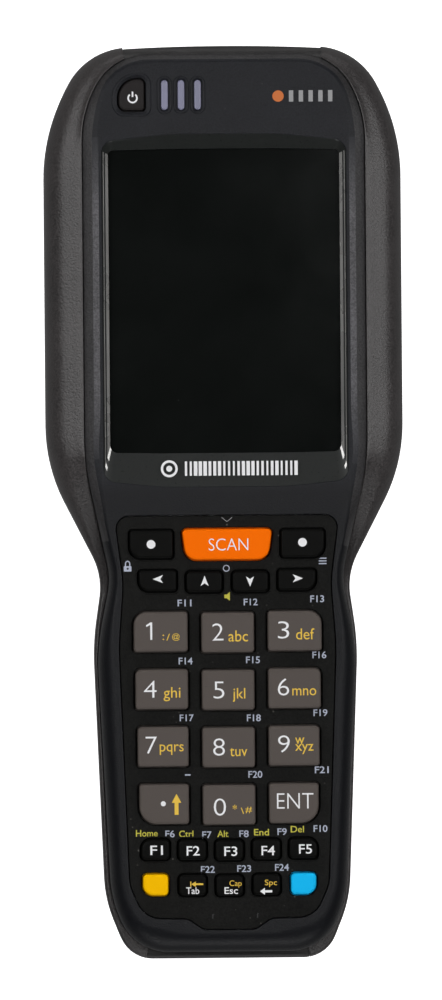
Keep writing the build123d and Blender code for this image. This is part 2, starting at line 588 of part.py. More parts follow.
# ---------------------------------------------------------------- inside the case
with BuildPart() as mid_frame:
    with BuildSketch(Plane.XY.offset(FRAME_Z)):
        add(cover_inner_face)
        with Locations(*SCREW_POINTS):
            Circle(COVER_POST_RADIUS + 0.3, mode=Mode.SUBTRACT)
        with Locations((POWER_KEY.x, POWER_KEY.y)):
            Circle(2.0, mode=Mode.SUBTRACT)
    extrude(amount=FRAME_TOP_Z - FRAME_Z)
    with Locations((0, 10, MAIN_BOARD_TOP_Z), (0, 75, MAIN_BOARD_TOP_Z)):
        with GridLocations(44, 1, 2, 1):
            Cylinder(2.2, FRAME_Z - MAIN_BOARD_TOP_Z, align=UP)
keep(mid_frame.part, "mid_frame")

with BuildPart() as main_board:
    with BuildSketch(Plane.XY.offset(MAIN_BOARD_Z)):
        offset(tub_inner_face, amount=-0.6)
        with Locations((0, 50)):
            Rectangle(90, 98, mode=Mode.INTERSECT)
        with Locations(*SCREW_POINTS):
            Circle(COVER_POST_RADIUS + 0.3, mode=Mode.SUBTRACT)
    extrude(amount=MAIN_BOARD_TOP_Z - MAIN_BOARD_Z)
    with Locations((POWER_KEY.x, POWER_KEY.y, MAIN_BOARD_TOP_Z)):
        Box(4, 4, POWER_SWITCH_TOP_Z - MAIN_BOARD_TOP_Z, align=UP)
keep(main_board.part, "main_board")

with BuildPart() as shield_cans:
    with Locations(*[(x, y, MAIN_BOARD_Z) for x, y in CAN_POINTS]):
        Box(*CAN_SIZE, align=DOWN)
    fillet(shield_cans.edges().filter_by(Axis.Z), radius=1.0)
    with Locations(*[(x, y, MAIN_BOARD_Z) for x, y in CAN_POINTS]):
        width, length, height = CAN_SIZE
        Box(
            width - 2 * CAN_WALL, length - 2 * CAN_WALL, height - CAN_WALL,
            align=DOWN, mode=Mode.SUBTRACT,
        )
keep(shield_cans.part, "shield_cans")

with BuildPart() as backup_cell:
    with Locations((*CELL_AT, MAIN_BOARD_Z)):
        Cylinder(CELL_RADIUS, CELL_HEIGHT, align=DOWN)
    chamfer(backup_cell.edges().group_by(Axis.Z)[0], length=0.5)
keep(backup_cell.part, "backup_cell")

with BuildPart() as speaker:
    with Locations((*SPEAKER_AT, REAR_WALL)):
        Cylinder(SPEAKER_RADIUS, 4.0, align=UP)
    with Locations((*SPEAKER_AT, REAR_WALL + 4.0)):
        Cylinder(SPEAKER_RADIUS - 3, 2.0, align=UP)
    fillet(speaker.edges().group_by(Axis.Z)[-1], radius=0.6)
keep(speaker.part, "speaker")

with BuildPart() as scan_engine:
    with Locations((0, ENGINE_Y, MAIN_BOARD_Z)):
        Box(*ENGINE_SIZE, align=DOWN)
    fillet(scan_engine.edges().filter_by(Axis.Y), radius=1.0)
keep(scan_engine.part, "scan_engine")

with BuildPart() as engine_optics:
    with BuildSketch(Plane.XZ.offset(-ENGINE_FACE_Y)):
        with Locations((-5, SCAN_Z)):
            Circle(4.2)
        with Locations((5.5, SCAN_Z)):
            RectangleRounded(7, 7, 1)
    extrude(amount=-2.0)
    with BuildSketch(Plane.XZ.offset(-ENGINE_FACE_Y - 2.0)):
        with Locations((-5, SCAN_Z)):
            Circle(2.8)
    extrude(amount=0.8, mode=Mode.SUBTRACT)
keep(engine_optics.part, "engine_optics")

with BuildPart() as battery_pack:
    with Locations((0, BATTERY_Y, BATTERY_Z)):
        Box(*BATTERY_SIZE, align=UP)
    fillet(battery_pack.edges().filter_by(Axis.Y), radius=4.0)
    fillet(battery_pack.edges().group_by(Axis.Y)[0], radius=0.8)
    fillet(battery_pack.edges().group_by(Axis.Y)[-1], radius=0.8)
keep(battery_pack.part, "battery_pack")

with BuildPart() as battery_contacts:
    with Locations((0, BATTERY_FRONT_Y + 0.6, FRAME_Z)):
        Box(22, 3.0, 9.0, align=(Align.CENTER, Align.MIN, Align.MAX))
    with Locations((0, BATTERY_FRONT_Y, FRAME_Z - 5)):
        with GridLocations(4.0, 1, 5, 1):
            Box(1.6, 0.6, 4.0, align=(Align.CENTER, Align.MIN, Align.CENTER))
keep(battery_contacts.part, "battery_contacts")

# ---------------------------------------------------------------- battery door and its latch
with BuildPart() as battery_door:
    with BuildSketch(Plane.XY.offset(GRIP_Z)):
        with Locations((0, (HINGE_Y + DOOR_TAIL_Y) / 2)):
            RectangleRounded(2 * DOOR_HALF_WIDTH, HINGE_Y - DOOR_TAIL_Y, 1.65)
        with Locations((0, HINGE_Y)):
            Rectangle(2 * DOOR_HALF_WIDTH, 20, align=(Align.CENTER, Align.MAX))
    extrude(amount=DOOR_THICKNESS)
    with BuildSketch(Plane.YZ.offset(-DOOR_HALF_WIDTH)):
        with Locations((HINGE_Y, HINGE_Z)):
            Circle(BARREL_RADIUS)
    extrude(amount=2 * DOOR_HALF_WIDTH)
    # clear of the two lugs on the housing, then the pins that turn in them
    for side in (1, -1):
        with Locations((side * (LUG_INNER_X + LUG_WIDTH / 2), HINGE_Y - 2.5, HINGE_Z)):
            Box(LUG_WIDTH + 0.7, 10.0, 6.0, align=(Align.CENTER, Align.MIN, Align.CENTER),
                mode=Mode.SUBTRACT)
        with Locations((side * (LUG_INNER_X + LUG_WIDTH / 2), HINGE_Y, HINGE_Z)):
            Cylinder(PIN_RADIUS, LUG_WIDTH + 1.5, rotation=(0, 90, 0))
    # recess and slot for the latch, rails and spring stop inside
    with Locations((0, LATCH_Y + LATCH_TRAVEL / 2, GRIP_Z)):
        Box(LATCH_PAD[0] + 1.0, LATCH_PAD[1] + LATCH_TRAVEL + 0.8, 1.0, align=UP,
            mode=Mode.SUBTRACT)
    with Locations((0, LATCH_NECK_Y - 0.35, GRIP_Z)):
        Box(
            LATCH_NECK[0] + 0.7, LATCH_NECK[1] + LATCH_TRAVEL + 0.7, DOOR_THICKNESS,
            align=(Align.CENTER, Align.MIN, Align.MIN), mode=Mode.SUBTRACT,
        )
    for side in (1, -1):
        with Locations((side * (LATCH_PLATE[0] / 2 + 0.85), -80.0, DOOR_INNER_Z)):
            Box(1.0, 18.0, 1.8, align=(Align.CENTER, Align.MIN, Align.MIN))
    with Locations((0, SPRING_STOP_Y, DOOR_INNER_Z)):
        Box(LATCH_PLATE[0] + 2.7, 1.2, 2.2, align=(Align.CENTER, Align.MIN, Align.MIN))
    # grip grooves across the outside
    with Locations((0, -20, GRIP_Z)):
        with GridLocations(1, 3.2, 1, 3):
            Box(22, 1.0, 0.4, align=UP, mode=Mode.SUBTRACT)
keep(battery_door.part, "battery_door")

with BuildPart() as door_latch:
    with Locations((0, LATCH_Y, GRIP_Z - 0.7)):
        Box(*LATCH_PAD, 1.4, align=UP)
    fillet(door_latch.edges().filter_by(Axis.Z), radius=1.2)
    with Locations((0, LATCH_Y, GRIP_Z - 0.7)):
        with GridLocations(1, 1.8, 1, 3):
            Box(LATCH_PAD[0] - 3, 0.7, 0.4, align=UP, mode=Mode.SUBTRACT)
    with Locations((0, LATCH_NECK_Y, GRIP_Z + 0.7)):
        Box(*LATCH_NECK, 1.8, align=(Align.CENTER, Align.MIN, Align.MIN))
    with Locations((0, LATCH_PLATE_TAIL_Y, DOOR_INNER_Z + 0.3)):
        Box(*LATCH_PLATE, 1.2, align=(Align.CENTER, Align.MIN, Align.MIN))
    with Locations((0, LATCH_PLATE_TAIL_Y, DOOR_INNER_Z + 0.3)):
        Box(7.0, LATCH_PLATE_TAIL_Y - DOOR_TAIL_Y, 1.2,
            align=(Align.CENTER, Align.MAX, Align.MIN))
keep(door_latch.part, "door_latch")

with BuildPart() as latch_spring:
    with BuildLine():
        coil = Helix(
            pitch=SPRING_PITCH, height=SPRING_END_Y - SPRING_START_Y, radius=SPRING_RADIUS,
            center=(0, SPRING_START_Y, DOOR_INNER_Z + 1.0), direction=(0, 1, 0),
        )
    with BuildSketch(Plane(origin=coil @ 0, z_dir=coil % 0)):
        Circle(SPRING_WIRE)
    sweep()
keep(latch_spring.part, "latch_spring")
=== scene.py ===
"""A rugged handheld data terminal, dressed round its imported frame.

The terminal lies on its back with its display up. X runs across it, +Y towards the scanning
end and +Z out of the display. Sizes in this file are millimetres unless a name says otherwise.
"""

import logging
import math
from dataclasses import dataclass, field
from enum import Enum, IntEnum
from typing import Sequence

import bmesh
import bpy
import numpy as np
from mathutils import Matrix, Vector
from mathutils.geometry import delaunay_2d_cdt


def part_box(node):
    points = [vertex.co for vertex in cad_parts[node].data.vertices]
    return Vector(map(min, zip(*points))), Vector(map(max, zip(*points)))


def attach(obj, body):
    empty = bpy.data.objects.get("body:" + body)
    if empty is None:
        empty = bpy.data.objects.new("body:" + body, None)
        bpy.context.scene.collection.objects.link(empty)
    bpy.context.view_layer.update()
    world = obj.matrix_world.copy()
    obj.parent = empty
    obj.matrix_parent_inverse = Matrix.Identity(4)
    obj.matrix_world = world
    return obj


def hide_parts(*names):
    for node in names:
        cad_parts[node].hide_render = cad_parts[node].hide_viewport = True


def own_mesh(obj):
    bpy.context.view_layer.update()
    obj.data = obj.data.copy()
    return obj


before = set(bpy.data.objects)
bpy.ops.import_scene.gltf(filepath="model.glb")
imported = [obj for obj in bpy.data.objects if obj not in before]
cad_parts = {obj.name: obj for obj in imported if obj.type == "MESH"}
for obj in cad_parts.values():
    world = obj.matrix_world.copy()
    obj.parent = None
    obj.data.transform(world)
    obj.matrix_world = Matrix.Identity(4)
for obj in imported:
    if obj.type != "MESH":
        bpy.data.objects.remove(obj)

MM = 0.001
SEED = 7
LOG = logging.getLogger("terminal")

Corner = tuple[tuple[float, float], float]
Colour = tuple[float, float, float]
Socket = bpy.types.NodeSocket

KEY_FLANGE = 0.4


# ---------------------------------------------------------------- outlines and shells
def unit(vector: np.ndarray) -> np.ndarray:
    """The vector at length one."""
    return vector / np.linalg.norm(vector)


def turned(vector: np.ndarray, angle: float) -> np.ndarray:
    """The flat vector turned anticlockwise by an angle in radians."""
    c, s = math.cos(angle), math.sin(angle)
    return np.array([c * vector[0] - s * vector[1], s * vector[0] + c * vector[1]])


def smooth_step(low: float, high: float, value: np.ndarray) -> np.ndarray:
    """A soft ramp from 0 at low to 1 at high.

    Args:
        low: where the ramp starts.
        high: where the ramp ends.
        value: the numbers to map.

    Returns:
        One number from 0 to 1 for each value.
    """
    t = np.clip((np.asarray(value, float) - low) / (high - low), 0, 1)
    return t * t * (3 - 2 * t)


def eased(values: np.ndarray, steps: int) -> np.ndarray:
    """Values round a loop with their changes spread out, never above what they were."""
    for _ in range(steps):
        values = np.minimum(values, np.minimum(np.roll(values, 1), np.roll(values, -1)))
    for _ in range(steps):
        values = (np.roll(values, 1) + values + np.roll(values, -1)) / 3
    return values


def quarter_round(steps: int) -> list[tuple[float, float]]:
    """How far in and how far down a rounded edge of radius one is at each step, lowest first."""
    angles = [k * math.pi / 2 / steps for k in range(steps + 1)]
    return [(1 - math.cos(angle), 1 - math.sin(angle)) for angle in angles]


@dataclass(frozen=True)
class Outline:
    """A closed clockwise outline, with the outward direction at each of its points."""

    points: np.ndarray
    normals: np.ndarray

    @classmethod
    def rounded(cls, corners: Sequence[Corner], steps: int = 8, run: float = 1e6) -> "Outline":
        """An outline with a rounded corner at each of the given points.

        Args:
            corners: clockwise corner points, each with its radius.
            steps: how many pieces each rounded corner is cut into.
            run: the longest piece of a straight side.

        Returns:
            The sampled outline.
        """
        arcs = []
        for i, (place, radius) in enumerate(corners):
            here = np.array(place, float)
            way_in = unit(here - np.array(corners[i - 1][0], float))
            way_out = unit(np.array(corners[(i + 1) % len(corners)][0], float) - here)
            cross = way_in[0] * way_out[1] - way_in[1] * way_out[0]
            angle = math.atan2(cross, float(way_in @ way_out))
            start = here - way_in * radius * math.tan(abs(angle) / 2)
            centre = start + np.array([-way_in[1], way_in[0]]) * math.copysign(radius, angle)
            arc = []
            for k in range(steps + 1):
                part = angle * k / steps
                along = turned(way_in, part)
                arc.append((centre + turned(start - centre, part), np.array([-along[1], along[0]])))
            arcs.append(arc)
        points, normals = [], []
        for i, arc in enumerate(arcs):
            for point, normal in arc:
                points.append(point)
                normals.append(normal)
            gap = arcs[(i + 1) % len(arcs)][0][0] - arc[-1][0]
            pieces = max(1, math.ceil(np.linalg.norm(gap) / run))
            for k in range(1, pieces):
                points.append(arc[-1][0] + gap * k / pieces)
                normals.append(arc[-1][1])
        return cls(np.array(points), np.array(normals))

    @classmethod
    def mirrored(cls, half: Sequence[Corner], steps: int = 8, run: float = 1e6) -> "Outline":
        """A symmetric outline, from the corners of its right half, top to bottom."""
        left = [((-x, y), r) for (x, y), r in reversed(half)]
        return cls.rounded([*half, *left], steps, run)

    @classmethod
    def disc(cls, x: float, y: float, radius: float, steps: int = 24) -> "Outline":
        """A circle."""
        angles = -np.arange(steps) * 2 * math.pi / steps
        normals = np.stack([np.cos(angles), np.sin(angles)], 1)
        return cls(np.array([x, y]) + radius * normals, normals)

    def at(self, lengths: np.ndarray) -> "Outline":
        """The part of the outline at some distances along it from its first point."""
        points = np.vstack([self.points, self.points[:1]])
        normals = np.vstack([self.normals, self.normals[:1]])
        run = np.concatenate([[0], np.cumsum(np.linalg.norm(np.diff(points, axis=0), axis=1))])
        new_points = np.column_stack([np.interp(lengths, run, points[:, k]) for k in (0, 1)])
        new_normals = np.column_stack([np.interp(lengths, run, normals[:, k]) for k in (0, 1)])
        return Outline(new_points, new_normals / np.linalg.norm(new_normals, axis=1)[:, None])

    def length(self) -> float:
        """How long the outline is."""
        return float(np.linalg.norm(np.roll(self.points, -1, 0) - self.points, axis=1).sum())

    def spaced(self, step: float) -> "Outline":
        """The outline sampled again at even steps."""
        count = round(self.length() / step)
        return self.at(np.arange(count) * self.length() / count)

    def inset(self, depth: float | np.ndarray) -> np.ndarray:
        """The points moved inwards by a depth, which may differ from point to point."""
        return self.points - self.normals * np.reshape(depth, (-1, 1))

    def room_to(self, other: "Outline") -> np.ndarray:
        """How far in from each point the other outline lies, or 1000 where it isn't met."""
        start = other.points
        side = np.roll(start, -1, 0) - start
        room = np.full(len(self.points), 1000.0)
        for i, (point, normal) in enumerate(zip(self.points, self.normals)):
            cross = -normal[0] * side[:, 1] + normal[1] * side[:, 0]
            cross = np.where(np.abs(cross) < 1e-9, 1e-9, cross)
            offset = start - point
            reach = (offset[:, 0] * side[:, 1] - offset[:, 1] * side[:, 0]) / cross
            share = (offset[:, 0] * -normal[1] + offset[:, 1] * normal[0]) / cross
            met = (reach > 0) & (share >= 0) & (share <= 1)
            if met.any():
                room[i] = reach[met].min()
        return room


class Shell:
    """Collects loops of points and the faces between them, and makes one closed mesh."""

    def __init__(self) -> None:
        """Starts empty."""
        self.points: list[tuple[float, float, float]] = []
        self.faces: list[tuple[int, ...]] = []
        self.marks: list[int] = []

    def loop(self, flat: np.ndarray, z: float | np.ndarray) -> list[int]:
        """Adds a loop of points at one height, or at a height for each, and returns its ids."""
        heights = np.broadcast_to(np.asarray(z, float), (len(flat),))
        first = len(self.points)
        self.points += [(float(x), float(y), float(h)) for (x, y), h in zip(flat, heights)]
        return list(range(first, first + len(flat)))

    def space_loop(self, points: np.ndarray) -> list[int]:
        """Adds a loop of points in space and returns its ids."""
        first = len(self.points)
        self.points += [tuple(map(float, p)) for p in points]
        return list(range(first, first + len(points)))

    def strip(self, a: list[int], b: list[int], marks: Sequence[int] | int = 0) -> None:
        """Joins two loops of equal length with four-sided faces, of one finish or one each."""
        for i in range(len(a)):
            j = (i + 1) % len(a)
            self.faces.append((a[i], a[j], b[j], b[i]))
            self.marks.append(marks if isinstance(marks, int) else marks[i])

    def stack(self, loops: Sequence[list[int]], mark: int = 0) -> None:
        """Joins each loop to the next."""
        for a, b in zip(loops, loops[1:]):
            self.strip(a, b, mark)

    def cap(self, outer: list[int], holes: Sequence[list[int]] = (), mark: int = 0) -> None:
        """Fills the flat area inside one loop and outside the others.

        Args:
            outer: the loop round the area.
            holes: loops inside it that stay open.
            mark: the finish of the new faces.
        """
        loops = [outer, *holes]
        ids = [i for loop in loops for i in loop]
        flat = [Vector(self.points[i][:2]) for i in ids]
        edges, start = [], 0
        for loop in loops:
            edges += [(start + k, start + (k + 1) % len(loop)) for k in range(len(loop))]
            start += len(loop)
        _, _, triangles, sources, _, _ = delaunay_2d_cdt(flat, edges, [], 0, 1e-7)
        xy = np.array([tuple(p) for p in flat])
        ends = np.array(edges)
        a, b = xy[ends[:, 0]], xy[ends[:, 1]]
        for triangle in triangles:
            corner = [sources[i][0] for i in triangle]
            middle = xy[corner].mean(0)
            above = (a[:, 1] > middle[1]) != (b[:, 1] > middle[1])
            slope = (b[:, 0] - a[:, 0]) / np.where(above, b[:, 1] - a[:, 1], 1)
            hits = above & (middle[0] < a[:, 0] + slope * (middle[1] - a[:, 1]))
            if hits.sum() % 2:
                self.faces.append(tuple(ids[i] for i in corner))
                self.marks.append(mark)

    def prism(self, outline: Outline, low: float, high: float, soft: float = 0.0) -> None:
        """Adds a closed upright block with an optional rounded top edge.

        Args:
            outline: its shape from above.
            low: its lower height.
            high: its upper height.
            soft: the radius of its top edge.
        """
        loops = [self.loop(outline.points, low)]
        if soft:
            for depth, drop in quarter_round(4):
                loops.append(self.loop(outline.inset(soft * depth), high - soft * drop))
        else:
            loops.append(self.loop(outline.points, high))
        self.stack(loops)
        self.cap(loops[0])
        self.cap(loops[-1])

    def piece(
        self, name: str, finishes: Sequence[bpy.types.Material], crease: float = 32.0
    ) -> bpy.types.Object:
        """Makes the mesh object, with its faces outward and its sharp edges marked.

        Args:
            name: the object's name.
            finishes: its materials, in the order that the marks name them.
            crease: the angle in degrees past which an edge stays sharp.

        Returns:
            The new object, at the origin.
        """
        mesh = bpy.data.meshes.new(name)
        mesh.from_pydata([tuple(MM * v for v in p) for p in self.points], [], self.faces)
        mesh.polygons.foreach_set("material_index", self.marks)
        return finished_piece(name, mesh, finishes, crease)


def finished_piece(
    name: str, mesh: bpy.types.Mesh, finishes: Sequence[bpy.types.Material], crease: float = 32.0
) -> bpy.types.Object:
    """Turns a mesh's faces outward, smooths it up to its sharp edges and makes its object.

    Args:
        name: the object's name.
        mesh: a mesh in metres, in the row frame.
        finishes: its materials.
        crease: the angle in degrees past which an edge stays sharp.

    Returns:
        The new object, at the origin.
    """
    work = bmesh.new()
    work.from_mesh(mesh)
    bmesh.ops.remove_doubles(work, verts=work.verts, dist=1e-7)
    bmesh.ops.recalc_face_normals(work, faces=work.faces)
    for face in work.faces:
        face.smooth = True
    for edge in work.edges:
        if len(edge.link_faces) == 2 and edge.calc_face_angle(0) > math.radians(crease):
            edge.smooth = False
    work.to_mesh(mesh)
    work.free()
    piece = bpy.data.objects.new(name, mesh)
    bpy.context.scene.collection.objects.link(piece)
    for finish in finishes:
        mesh.materials.append(finish)
    weighted = piece.modifiers.new("even_normals", "WEIGHTED_NORMAL")
    weighted.keep_sharp = True
    return piece


# ---------------------------------------------------------------- finishes
class Tree:
    """A material's node tree, with short ways to add nodes and join them."""

    def __init__(self, name: str) -> None:
        """Makes an empty material of that name.

        Args:
            name: the material's name.
        """
        self.material = bpy.data.materials.new(name + "_finish")
        self.material.use_nodes = True
        self.nodes = self.material.node_tree.nodes
        self.links = self.material.node_tree.links
        self.nodes.clear()
        output = self.nodes.new("ShaderNodeOutputMaterial")
        self.shader = self.nodes.new("ShaderNodeBsdfPrincipled")
        self.links.new(self.shader.outputs[0], output.inputs["Surface"])
        self.place = self.nodes.new("ShaderNodeTexCoord").outputs["Object"]

    def noise(self, scale: float, detail: float = 2.0, rough: float = 0.5) -> Socket:
        """A noise pattern's value; scale counts features per metre."""
        node = self.nodes.new("ShaderNodeTexNoise")
        node.inputs["Scale"].default_value = scale
        node.inputs["Detail"].default_value = detail
        node.inputs["Roughness"].default_value = rough
        self.links.new(self.place, node.inputs["Vector"])
        return node.outputs["Fac"]

    def cells(self, scale: float) -> Socket:
        """The distance to the nearest of scattered points; scale counts cells per metre."""
        node = self.nodes.new("ShaderNodeTexVoronoi")
        node.inputs["Scale"].default_value = scale
        self.links.new(self.place, node.inputs["Vector"])
        return node.outputs["Distance"]

    def ramp(
        self, value: Socket, low: float, high: float, start: float, end: float
    ) -> Socket:
        """The value mapped from low and high to start and end, and held there outside."""
        node = self.nodes.new("ShaderNodeMapRange")
        for name, number in (
            ("From Min", low), ("From Max", high), ("To Min", start), ("To Max", end)
        ):
            node.inputs[name].default_value = number
        self.links.new(value, node.inputs["Value"])
        return node.outputs["Result"]

    def combine(self, operation: str, a: Socket, b: Socket) -> Socket:
        """The two values added or multiplied, as the operation says."""
        node = self.nodes.new("ShaderNodeMath")
        node.operation = operation
        self.links.new(a, node.inputs[0])
        self.links.new(b, node.inputs[1])
        return node.outputs[0]

    def mix(
        self, factor: Socket, a: "Colour | Socket", b: Colour
    ) -> Socket:
        """The colour that goes from a to b with the factor."""
        node = self.nodes.new("ShaderNodeMix")
        node.data_type = "RGBA"
        self.links.new(factor, node.inputs["Factor"])
        if isinstance(a, tuple):
            node.inputs["A"].default_value = (*a, 1)
        else:
            self.links.new(a, node.inputs["A"])
        node.inputs["B"].default_value = (*b, 1)
        return node.outputs["Result"]

    def along(self) -> Socket:
        """The place along the terminal, in metres."""
        node = self.nodes.new("ShaderNodeSeparateXYZ")
        self.links.new(self.place, node.inputs[0])
        return node.outputs["Y"]

    def away_from(self, middle: float) -> Socket:
        """The distance along the terminal from a place on it, in metres."""
        flat = self.nodes.new("ShaderNodeVectorMath")
        flat.operation = "MULTIPLY"
        flat.inputs[1].default_value = (0, 1, 0)
        self.links.new(self.place, flat.inputs[0])
        away = self.nodes.new("ShaderNodeVectorMath")
        away.operation = "DISTANCE"
        away.inputs[1].default_value = (0, middle, 0)
        self.links.new(flat.outputs[0], away.inputs[0])
        return away.outputs["Value"]

    def bump(self, height: Socket, depth_mm: float) -> None:
        """Roughens the surface by a height pattern of that depth."""
        node = self.nodes.new("ShaderNodeBump")
        node.inputs["Strength"].default_value = 1.0
        node.inputs["Distance"].default_value = depth_mm * MM
        self.links.new(height, node.inputs["Height"])
        self.links.new(node.outputs["Normal"], self.shader.inputs["Normal"])

    def set(self, **values: float) -> None:
        """Sets the shader's plain numbers; an underscore in a name stands for a space."""
        for name, value in values.items():
            self.shader.inputs[name.replace("_", " ")].default_value = value

    def join(self, value: Socket, socket: str) -> None:
        """Feeds a pattern into one of the shader's sockets."""
        self.links.new(value, self.shader.inputs[socket])


def linear(red: float, green: float, blue: float) -> Colour:
    """A display colour from 0 to 255 as linear light."""
    out = []
    for value in (red, green, blue):
        v = value / 255
        out.append(v / 12.92 if v <= 0.04045 else ((v + 0.055) / 1.055) ** 2.4)
    return (out[0], out[1], out[2])


def scaled(colour: Colour, factor: float) -> Colour:
    """The colour made lighter or darker."""
    return (colour[0] * factor, colour[1] * factor, colour[2] * factor)


DUST: Colour = (0.22, 0.21, 0.19)


@dataclass(frozen=True)
class Moulded:
    """Plastic or rubber from a textured mould, a little uneven in colour and gloss.

    A finish with a handle factor below one is painted darker on the handle than on the head:
    painted shade, not a different plastic. One with fade_to turns to that colour away from
    fade_middle, its place along the terminal, which tapers the side strips' painted highlight.
    """

    name: str
    colour: Colour
    roughness: float = 0.5
    grain_mm: float = 0.28
    grain_depth: float = 0.03
    mottle: float = 0.18
    specks: float = 0.0
    gloss: float = 0.5
    handle_painted_shade: float = 1.0
    fade_to: Colour | None = None
    fade_middle: float = 46.5

    def material(self) -> bpy.types.Material:
        """Makes the material."""
        tree = Tree(self.name)
        cloud = tree.noise(90, 3, 0.6)
        fine = tree.noise(1000 / self.grain_mm, 2, 0.6)
        low, high = scaled(self.colour, 1 - self.mottle), scaled(self.colour, 1 + self.mottle)
        broad, small = tree.ramp(cloud, 0.3, 0.7, 0, 0.3), tree.ramp(fine, 0.35, 0.65, 0, 0.7)
        colour = tree.mix(tree.combine("ADD", broad, small), low, high)
        # fades to the second colour away from the middle place: the ends of the side strips' painted
        # highlight
        if self.fade_to:
            ends = tree.ramp(tree.away_from(self.fade_middle * MM), 20 * MM, 37 * MM, 0, 1)
            colour = tree.mix(ends, colour, self.fade_to)
        # painted shade: the handle half is drawn darker than the head
        if self.handle_painted_shade < 1:
            painted_shade = tree.ramp(tree.along(), 2.0 * MM, 5.5 * MM, 1, 0)
            colour = tree.mix(painted_shade, colour, scaled(self.colour, self.handle_painted_shade))
        if self.specks:
            dust = tree.ramp(tree.cells(420), 0.0, 0.11, self.specks, 0)
            patch = tree.ramp(tree.noise(160, 2), 0.5, 0.66, 0, 1)
            colour = tree.mix(tree.combine("MULTIPLY", dust, patch), colour, DUST)
        tree.join(colour, "Base Color")
        shine = tree.ramp(fine, 0.3, 0.7, self.roughness - 0.07, self.roughness + 0.07)
        tree.join(shine, "Roughness")
        tree.bump(fine, self.grain_depth)
        tree.set(Specular_IOR_Level=self.gloss)
        return tree.material


@dataclass(frozen=True)
class Polished:
    """A smooth glossy surface with a faint unevenness and a few motes of dust."""

    name: str
    colour: Colour
    roughness: float = 0.06
    dust: float = 0.0
    metallic: float = 0.0
    gloss: float = 0.5

    def material(self) -> bpy.types.Material:
        """Makes the material."""
        tree = Tree(self.name)
        cloud = tree.noise(60, 3, 0.6)
        low, high = scaled(self.colour, 0.9), scaled(self.colour, 1.1)
        colour = tree.mix(tree.ramp(cloud, 0.3, 0.7, 0, 1), low, high)
        if self.dust:
            mote = tree.ramp(tree.cells(130), 0.0, 0.016, self.dust, 0)
            colour = tree.mix(mote, colour, (0.2, 0.2, 0.2))
        tree.join(colour, "Base Color")
        tree.join(tree.ramp(cloud, 0.3, 0.7, self.roughness, self.roughness * 1.5), "Roughness")
        tree.set(Metallic=self.metallic, Specular_IOR_Level=self.gloss)
        return tree.material


@dataclass(frozen=True)
class Metal:
    """Bare metal with a fine drawn grain along one direction."""

    name: str
    colour: Colour
    roughness: float = 0.3
    stretch: tuple[float, float, float] = (1.0, 30.0, 30.0)

    def material(self) -> bpy.types.Material:
        """Makes the material."""
        tree = Tree(self.name)
        mapping = tree.nodes.new("ShaderNodeMapping")
        mapping.inputs["Scale"].default_value = self.stretch
        tree.links.new(tree.place, mapping.inputs["Vector"])
        tree.place = mapping.outputs["Vector"]
        grain = tree.noise(220, 4, 0.7)
        low, high = scaled(self.colour, 0.86), scaled(self.colour, 1.08)
        tree.join(tree.mix(tree.ramp(grain, 0.3, 0.7, 0, 1), low, high), "Base Color")
        shine = tree.ramp(grain, 0.3, 0.7, self.roughness * 0.8, self.roughness * 1.2)
        tree.join(shine, "Roughness")
        tree.bump(grain, 0.01)
        tree.set(Metallic=1.0)
        return tree.material


